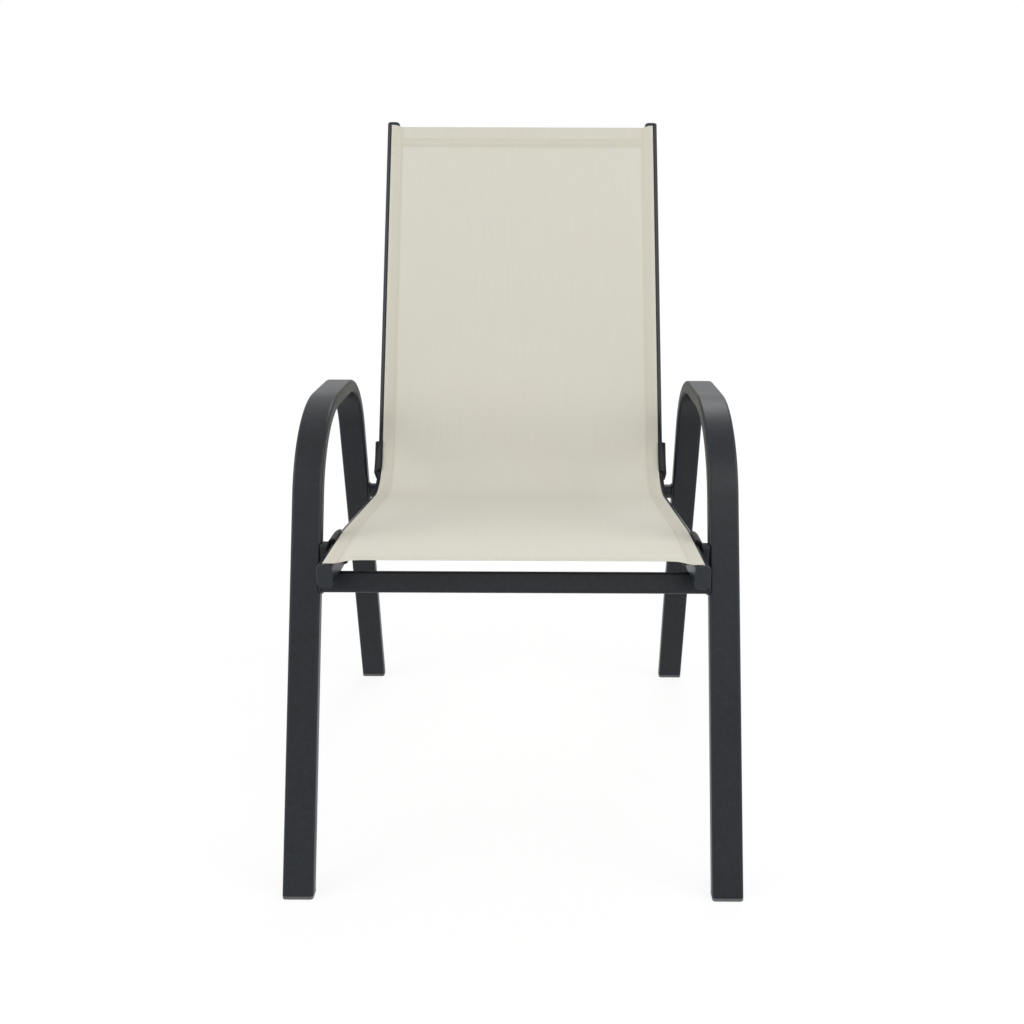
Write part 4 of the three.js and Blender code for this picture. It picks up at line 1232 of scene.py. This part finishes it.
class ClothShape:
    """The surface of the sling, from a distance along the rails and a place across."""

    def __init__(self, chair):
        self.chair, self.set, self.path = chair, chair.sling, chair.rail_path
        self.start = self.set.front_margin
        self.end = self.path.length - self.set.top_margin
        self.fold = sum(self.path.bends[1][:2]) / 2
        self.edge = chair.rail.groove_outboard + self.set.neck / 2
        self.low = chair.rail.rail_depth / 2 + SEAT_GAP
        self.high = self.low + 2 * self.set.layer

    def corner_shift(self, distance, front=1.0, top=1.0):
        """How far the corners pull the cloth forwards or up."""
        s = self.set
        front *= s.front_corner * fade(distance - self.start, 0, FRONT_RUN)
        return top * s.top_corner * fade(self.end - distance, 0, TOP_RUN) - front

    def station(self, distance, inside):
        """A place along the rails. The corners of the cloth stand past its straight ends."""
        shares = fade(inside, *FRONT_CORNER), fade(inside, *TOP_CORNER)
        return self.path.at(distance + self.corner_shift(distance, *shares))

    def bead_station(self, distance):
        """A place of the bead, which stays inside the rail."""
        moved = distance + self.corner_shift(distance)
        return self.path.at(max(SEAT_GAP, min(self.path.length - SEAT_GAP, moved)))

    def sag(self, distance):
        depth, low, high = self.set.back_sag, self.fold, self.end
        if distance < self.fold:
            depth, low, high = self.set.seat_sag, self.start, self.fold
        return depth * math.sin(math.pi * (distance - low) / (high - low))

    def thickness(self, distance, inside):
        """Heights of the lower and upper face above the rail's middle line."""
        s, from_front, from_top = self.set, distance - self.start, self.end - distance
        into = max(s.side_hem - inside, s.front_hem - from_front, s.top_hem - from_top)
        single = 1 - max(0.0, min(1.0, into / HEM_EDGE))
        dip = dent(inside - s.side_stitch, *SIDE_DIP)
        if inside > s.side_stitch:
            lines = (s.top_stitch, s.top_stitch_low)
            off = min(abs(from_front - s.front_stitch), *(abs(from_top - line) for line in lines))
            dip = max(dip, dent(off, *END_DIP))
        low, high = self.low + s.layer * single, self.high - HEM_RISE * single - dip
        half, near_end = (high - low) / 2, min(from_front, from_top)
        if near_end < half:
            left = 1 - (1 - near_end / half) ** 2
            middle, half = (high + low) / 2, half * max(LEAST_ROUND, math.sqrt(max(0.0, left)))
            low, high = middle - half, middle + half
        return low, high

    def tone(self, distance, inside):
        """Painted shade of the hems, for their doubled cloth: full in the top hem's band below its
        upper stitch, where its edge casts shade, part over the rest of the top and front hems, and
        in the side hems easing off at the fold.
        """
        s, from_top = self.set, self.end - distance
        top = fade(from_top, s.top_hem - MM, s.top_hem + MM)
        # sewn is the band of painted shade between the top hem's upper stitch and its lower edge,
        # where that edge casts shade
        sewn = top * (1 - fade(from_top, s.top_stitch - SHADE_BAND_FADE, s.top_stitch))
        front = fade(distance - self.start, s.front_hem - MM, s.front_hem + MM)
        # Painted shade of the side hems, easing off towards the folded edge
        side = FOLD_HEM_SHADE + (1 - FOLD_HEM_SHADE) * (1 - fade(inside, *FOLD_SHADE_EASE))
        side *= fade(inside, s.side_hem - 2 * MM, s.side_hem + MM)
        return max(side, sewn, TOP_HEM_SHADE * top, FRONT_HEM_SHADE * front)

    def row(self, distance, face, columns, parts=1):
        """Points of one face from edge to edge: the columns inside each edge, and parts between."""
        station, sides = self.path.at(distance), (LEFT, RIGHT)

        def point(side, station, inside, depth):
            height = self.thickness(distance, depth)[face]
            return self.chair.rail_point(side, station, self.edge - inside, height)

        left, right = (point(side, station, 0.0, OPEN_CLOTH).x for side in sides)
        starts, ends = (
            [point(side, self.station(distance, inside), inside, inside) for inside in columns]
            for side in sides
        )
        first, last = (point(side, station, columns[-1], OPEN_CLOTH) for side in sides)
        middle = [first.lerp(last, part / parts) for part in range(1, parts)]
        hung, down = [], Vector((0, *ahead((0, 0), station[2] - QUARTER, 4 * self.sag(distance))))
        for place in (*starts, *middle, *reversed(ends)):
            share = (place.x - left) / (right - left)
            hung.append(place + down * max(0.0, share * (1 - share)))
        return hung


class CHAIR_OT_sling(ChairOperator, bpy.types.Operator):
    """Stretches the mesh cloth between the rails, with its hems and its beads in the grooves"""

    bl_idname = "chair.sling"
    bl_label = "Sling"

    def build(self, chair):
        shape = ClothShape(chair)
        near, far = in_metres(FRONT_ROWS), in_metres(TOP_ROWS)
        distances = [
            *(shape.start + value for value in near[:-1]),
            *shape.path.distances(
                shape.start + near[-1], shape.end - far[-1], CLOTH_STEP, CLOTH_BEND_STEP
            ),
            *(shape.end - value for value in far[-2::-1]),
        ]
        sections, marks = [], []
        for distance in distances:
            lower, upper = (self.face(shape, distance, face) for face in (LOWER, UPPER))
            left, right = (self.bead(shape, distance, side) for side in (LEFT, RIGHT))
            contour = [*upper, *right, *lower[::-1], *left[::-1]]
            bores = [self.bore(shape, distance, side) for side in (LEFT, RIGHT)]
            sections.append([[point for point, _ in contour], *bores])
            marks += [mark for _, mark in contour] + [(0.0, distance, 0.0)] * sum(map(len, bores))
        mesh = loft(sections)
        attribute = mesh.attributes.new("cloth_place", "FLOAT_VECTOR", "POINT")
        attribute.data.foreach_set("vector", [value for mark in marks for value in mark])
        cloth = sling_cloth(chair.sling)
        new_piece("mesh_sling", mesh, cloth, "sling_mesh", "sling", limit=ROUND_ANGLE)

    def face(self, shape, distance, face):
        """Points across one face, each with its mark for the weave and its share of painted hem
        shade.
        """
        columns = in_metres(HEM_COLUMNS)
        insides = [*columns, *[OPEN_CLOTH] * (MIDDLE_PARTS - 1), *reversed(columns)]
        points = shape.row(distance, face, columns, MIDDLE_PARTS)
        return [
            (point, (point.x, distance, shape.tone(distance, inside)))
            for point, inside in zip(points, insides)
        ]

    def bead(self, shape, distance, side):
        """The roll over the lip, the neck, the bead in the groove and the neck again."""
        chair, s, radius = shape.chair, shape.set, shape.set.roll_radius
        mouth = math.degrees(math.asin(s.neck / 2 / s.bead_radius))
        roll = arc((shape.edge - radius, shape.high - radius), radius, ROLL_START, 0, 5)
        bead = arc(chair.groove, s.bead_radius, 90 - mouth, mouth - 270, BEAD_PARTS)
        inner = chair.groove[0] - s.neck / 2
        back = [(inner - inwards, shape.low - below) for inwards, below in NECK_FLARE]
        edge, held = shape.station(distance, 0.0), shape.bead_station(distance)
        points = [
            chair.rail_point(side, station, *place)
            for station, places in ((edge, roll), (held, bead), (edge, back)) for place in places
        ]
        steps = [(there - here).length for here, there in zip([points[0], *points], points)]
        # Each point of the roll, neck and bead gets the painted hem shade of the folded edge
        return [
            (point, (points[0].x + side * gone, distance, FOLD_HEM_SHADE))
            for point, gone in zip(points, accumulate(steps))
        ]

    def bore(self, shape, distance, side):
        outline = circle_outline(shape.set.bore_radius, BORE_SIDES, shape.chair.groove)
        station = shape.bead_station(distance)
        return [shape.chair.rail_point(side, station, *place) for place in outline]


# Stitches

STITCH_STEP = 3 * MM
SIDE_SEAM_END = 3 * MM
SEAM_COLUMNS = (18.5, 20, 22, 25, 31)
SEAM_PARTS = 120
STITCH_SEGMENTS = 6
STITCH_RINGS = 5


class CHAIR_OT_stitches(ChairOperator, bpy.types.Operator):
    """Sews the hems of the sling"""

    bl_idname = "chair.stitches"
    bl_label = "Stitches"

    def build(self, chair):
        shape, s = ClothShape(chair), chair.sling
        start, end = shape.start + SIDE_SEAM_END, shape.end - SIDE_SEAM_END
        count = max(2, round((end - start) / STITCH_STEP))
        steps = [start + (end - start) * index / count for index in range(count + 1)]
        lines = [*zip(*(shape.row(distance, UPPER, [s.side_stitch]) for distance in steps))]
        ends = shape.start + s.front_stitch, shape.end - s.top_stitch, shape.end - s.top_stitch_low
        lines += [shape.row(end, UPPER, in_metres(SEAM_COLUMNS), SEAM_PARTS) for end in ends]
        points, edges = [], []
        for line in lines:
            first, last = len(points), len(points) + len(line) - 1
            points += line
            edges += [(index, index + 1) for index in range(first, last)]
        mesh = bpy.data.meshes.new("stitch_lines")
        mesh.from_pydata(points, edges, [])
        tree, sizes = self.sewing(sewing_thread(s)), {}
        for item in tree.interface.items_tree:
            key = item.name.lower().replace(" ", "_")
            if item.in_out == "INPUT" and hasattr(s, key):
                sizes[item.identifier] = getattr(s, key)
        made = modified(mesh, [("NODES", {"node_group": tree, **sizes})])
        if not made.polygons:
            raise RuntimeError("the stitches came out empty")
        new_piece("sling_stitches", made, None, "sling_mesh", limit=THREAD_ANGLE)
        self.declare(shape)

    def declare(self, shape):
        """Works out the cloth's width at its front end and at its top end; the widths are not kept.
        """
        rows = (shape.row(distance, UPPER, [0.0]) for distance in (shape.start, shape.end))
        widths = [(right - left).length for left, right in rows]

    def sewing(self, material):
        """Puts one small rounded stitch at every step of a line, turned along it."""
        tree = bpy.data.node_groups.new("Sewing", "GeometryNodeTree")
        entries = {
            "Geometry": "Geometry", "Stitch Pitch": "Float", "Stitch Length": "Float",
            "Thread Radius": "Float",
        }
        for name, kind in entries.items():
            tree.interface.new_socket(name, in_out="INPUT", socket_type=f"NodeSocket{kind}")
        tree.interface.new_socket("Geometry", in_out="OUTPUT", socket_type="NodeSocketGeometry")
        sheet = NodeSheet(tree)
        lines, pitch, size, radius = (sheet.add("NodeGroupInput", output=name) for name in entries)
        curves = sheet.add("GeometryNodeMeshToCurve", None, {"Mesh": lines})
        steps = sheet.add(
            "GeometryNodeResampleCurve", {"mode": "LENGTH"}, {"Curve": curves, "Length": pitch}
        )
        tangent = sheet.add("GeometryNodeInputTangent")
        turn = sheet.add("FunctionNodeAlignRotationToVector", {"axis": "Z"}, {"Vector": tangent})
        parts = {"Segments": STITCH_SEGMENTS, "Rings": STITCH_RINGS, "Radius": 1.0}
        stitch = sheet.add("GeometryNodeMeshUVSphere", None, parts)
        scale = sheet.add("ShaderNodeCombineXYZ", None, {0: radius, 1: radius, 2: size * 0.5})
        sewn = {"Points": steps, "Instance": stitch, "Rotation": turn, "Scale": scale}
        sewn = sheet.add("GeometryNodeInstanceOnPoints", None, sewn)
        real = sheet.add("GeometryNodeRealizeInstances", None, {"Geometry": sewn})
        painted = {"Geometry": real, "Material": material}
        painted = sheet.add("GeometryNodeSetMaterial", None, painted)
        sheet.add("NodeGroupOutput", None, {"Geometry": painted})
        return tree


# Stage

FLOOR_SIZE = 14.0
FLOOR_WHITE = 1.06
FLOOR_FADE = (0.7, 2.2, 0.80, 1.0)
SENSOR = 36.0
AIM = Vector((0.0, 0.0, 0.5))

# Name, place, size and the setting that holds the power
LAMPS = (
    ("top", (0.4, 1.9, 2.9), 1.3, "top_power"),
    ("front", (0.8, -2.7, 2.8), 1.6, "front_power"),
    ("left", (-2.7, -1.1, 2.0), 2.2, "side_power"),
    ("right", (2.7, -1.1, 2.0), 2.2, "side_power"),
)


class CHAIR_OT_stage(bpy.types.Operator):
    """Sets the floor, the soft lamps and the camera"""

    bl_idname = "chair.stage"
    bl_label = "Stage"
    bl_options = {"REGISTER", "UNDO"}

    def execute(self, context):
        scene, stage = context.scene, context.scene.chair_stage
        self.floor(stage)
        scene.world = self.sky(stage)
        for name, place, size, power in LAMPS:
            lamp = self.held(scene, f"{name}_lamp", bpy.data.lights.new(name, "AREA"))
            lamp.data.size, lamp.data.energy = size, getattr(stage, power)
            lamp.location = place
            lamp.rotation_euler = (AIM - lamp.location).to_track_quat("-Z", "Y").to_euler()
        scene.camera = self.camera(scene, stage)
        scene.view_settings.view_transform = "Standard"
        return {"FINISHED"}

    def held(self, scene, name, data):
        """A new object in the scene that holds a lamp or a camera."""
        made = bpy.data.objects.new(name, data)
        scene.collection.objects.link(made)
        return made

    def floor(self, stage):
        """A pale floor, which turns white away from the chair where the camera sees it."""
        bpy.ops.mesh.primitive_plane_add(size=FLOOR_SIZE, location=(0, 0, 0))
        floor = bpy.context.object
        floor.name = "floor"
        sheet = NodeSheet(bpy.data.materials.new("pale_floor"))
        plain = sheet.add("ShaderNodeBsdfDiffuse", None, {"Color": (*stage.floor_colour, 1.0)})
        white = sheet.add("ShaderNodeEmission", None, {"Color": WHITE, "Strength": FLOOR_WHITE})
        reach = {0: sheet.place()}
        away = sheet.add("ShaderNodeVectorMath", {"operation": "LENGTH"}, reach, "Value")
        share = sheet.seen() * sheet.between(away, *FLOOR_FADE)
        sheet.end(sheet.add("ShaderNodeMixShader", None, {0: share, 1: plain, 2: white}))
        floor.data.materials.append(sheet.owner)

    def sky(self, stage):
        """Even light, which the camera sees as plain white."""
        sheet = NodeSheet(bpy.data.worlds.new("pale_sky"))
        strength = sheet.between(sheet.seen(), 0.0, 1.0, stage.sky, 1.0)
        light = {"Color": WHITE, "Strength": strength}
        sheet.end(sheet.add("ShaderNodeBackground", None, light), "World")
        return sheet.owner

    def camera(self, scene, stage):
        camera = self.held(scene, "camera", bpy.data.cameras.new("camera"))
        camera.data.sensor_fit, camera.data.sensor_width = "HORIZONTAL", SENSOR
        camera.data.lens, camera.data.shift_x = stage.lens, stage.shift
        camera.matrix_world = (
            Matrix.Translation((stage.camera_x, stage.camera_y, stage.camera_z))
            @ Matrix.Rotation(stage.camera_turn, 4, "Z")
            @ Matrix.Rotation(QUARTER - stage.camera_pitch, 4, "X")
            @ Matrix.Rotation(stage.camera_roll, 4, "Z")
        )
        return camera


# Panel and registration

STEPS = (
    CHAIR_OT_side_frames, CHAIR_OT_rails, CHAIR_OT_crossbars, CHAIR_OT_feet, CHAIR_OT_caps,
    CHAIR_OT_bumpers, CHAIR_OT_spacers, CHAIR_OT_fasteners, CHAIR_OT_sling, CHAIR_OT_stitches,
    CHAIR_OT_stage,
)

GROUPS = {
    "chair_side_frame": SideFrameSettings,
    "chair_rail": RailSettings,
    "chair_sling": SlingSettings,
    "chair_finish": FinishSettings,
    "chair_stage": StageSettings,
}


class CHAIR_PT_panel(bpy.types.Panel):
    """Lists the pieces of the chair and their settings"""

    bl_label = "Sling Patio Chair"
    bl_idname = "CHAIR_PT_panel"
    bl_space_type = "VIEW_3D"
    bl_region_type = "UI"
    bl_category = "Chair"

    def draw(self, context):
        for step in STEPS:
            self.layout.operator(step.bl_idname)
        for name, group in GROUPS.items():
            box = self.layout.box()
            box.label(text=name.replace("_", " ").title())
            for key in group.__annotations__:
                box.prop(getattr(context.scene, name), key)


def register():
    for name, group in GROUPS.items():
        bpy.utils.register_class(group)
        setattr(bpy.types.Scene, name, PointerProperty(type=group))
    for kind in (*STEPS, CHAIR_PT_panel):
        bpy.utils.register_class(kind)


def unregister():
    for kind in (CHAIR_PT_panel, *reversed(STEPS)):
        bpy.utils.unregister_class(kind)
    for name, group in GROUPS.items():
        delattr(bpy.types.Scene, name)
        bpy.utils.unregister_class(group)


def main():
    register()
    for step in STEPS:
        category, name = step.bl_idname.split(".")
        getattr(getattr(bpy.ops, category), name)()


if __name__ == "__main__":
    main()
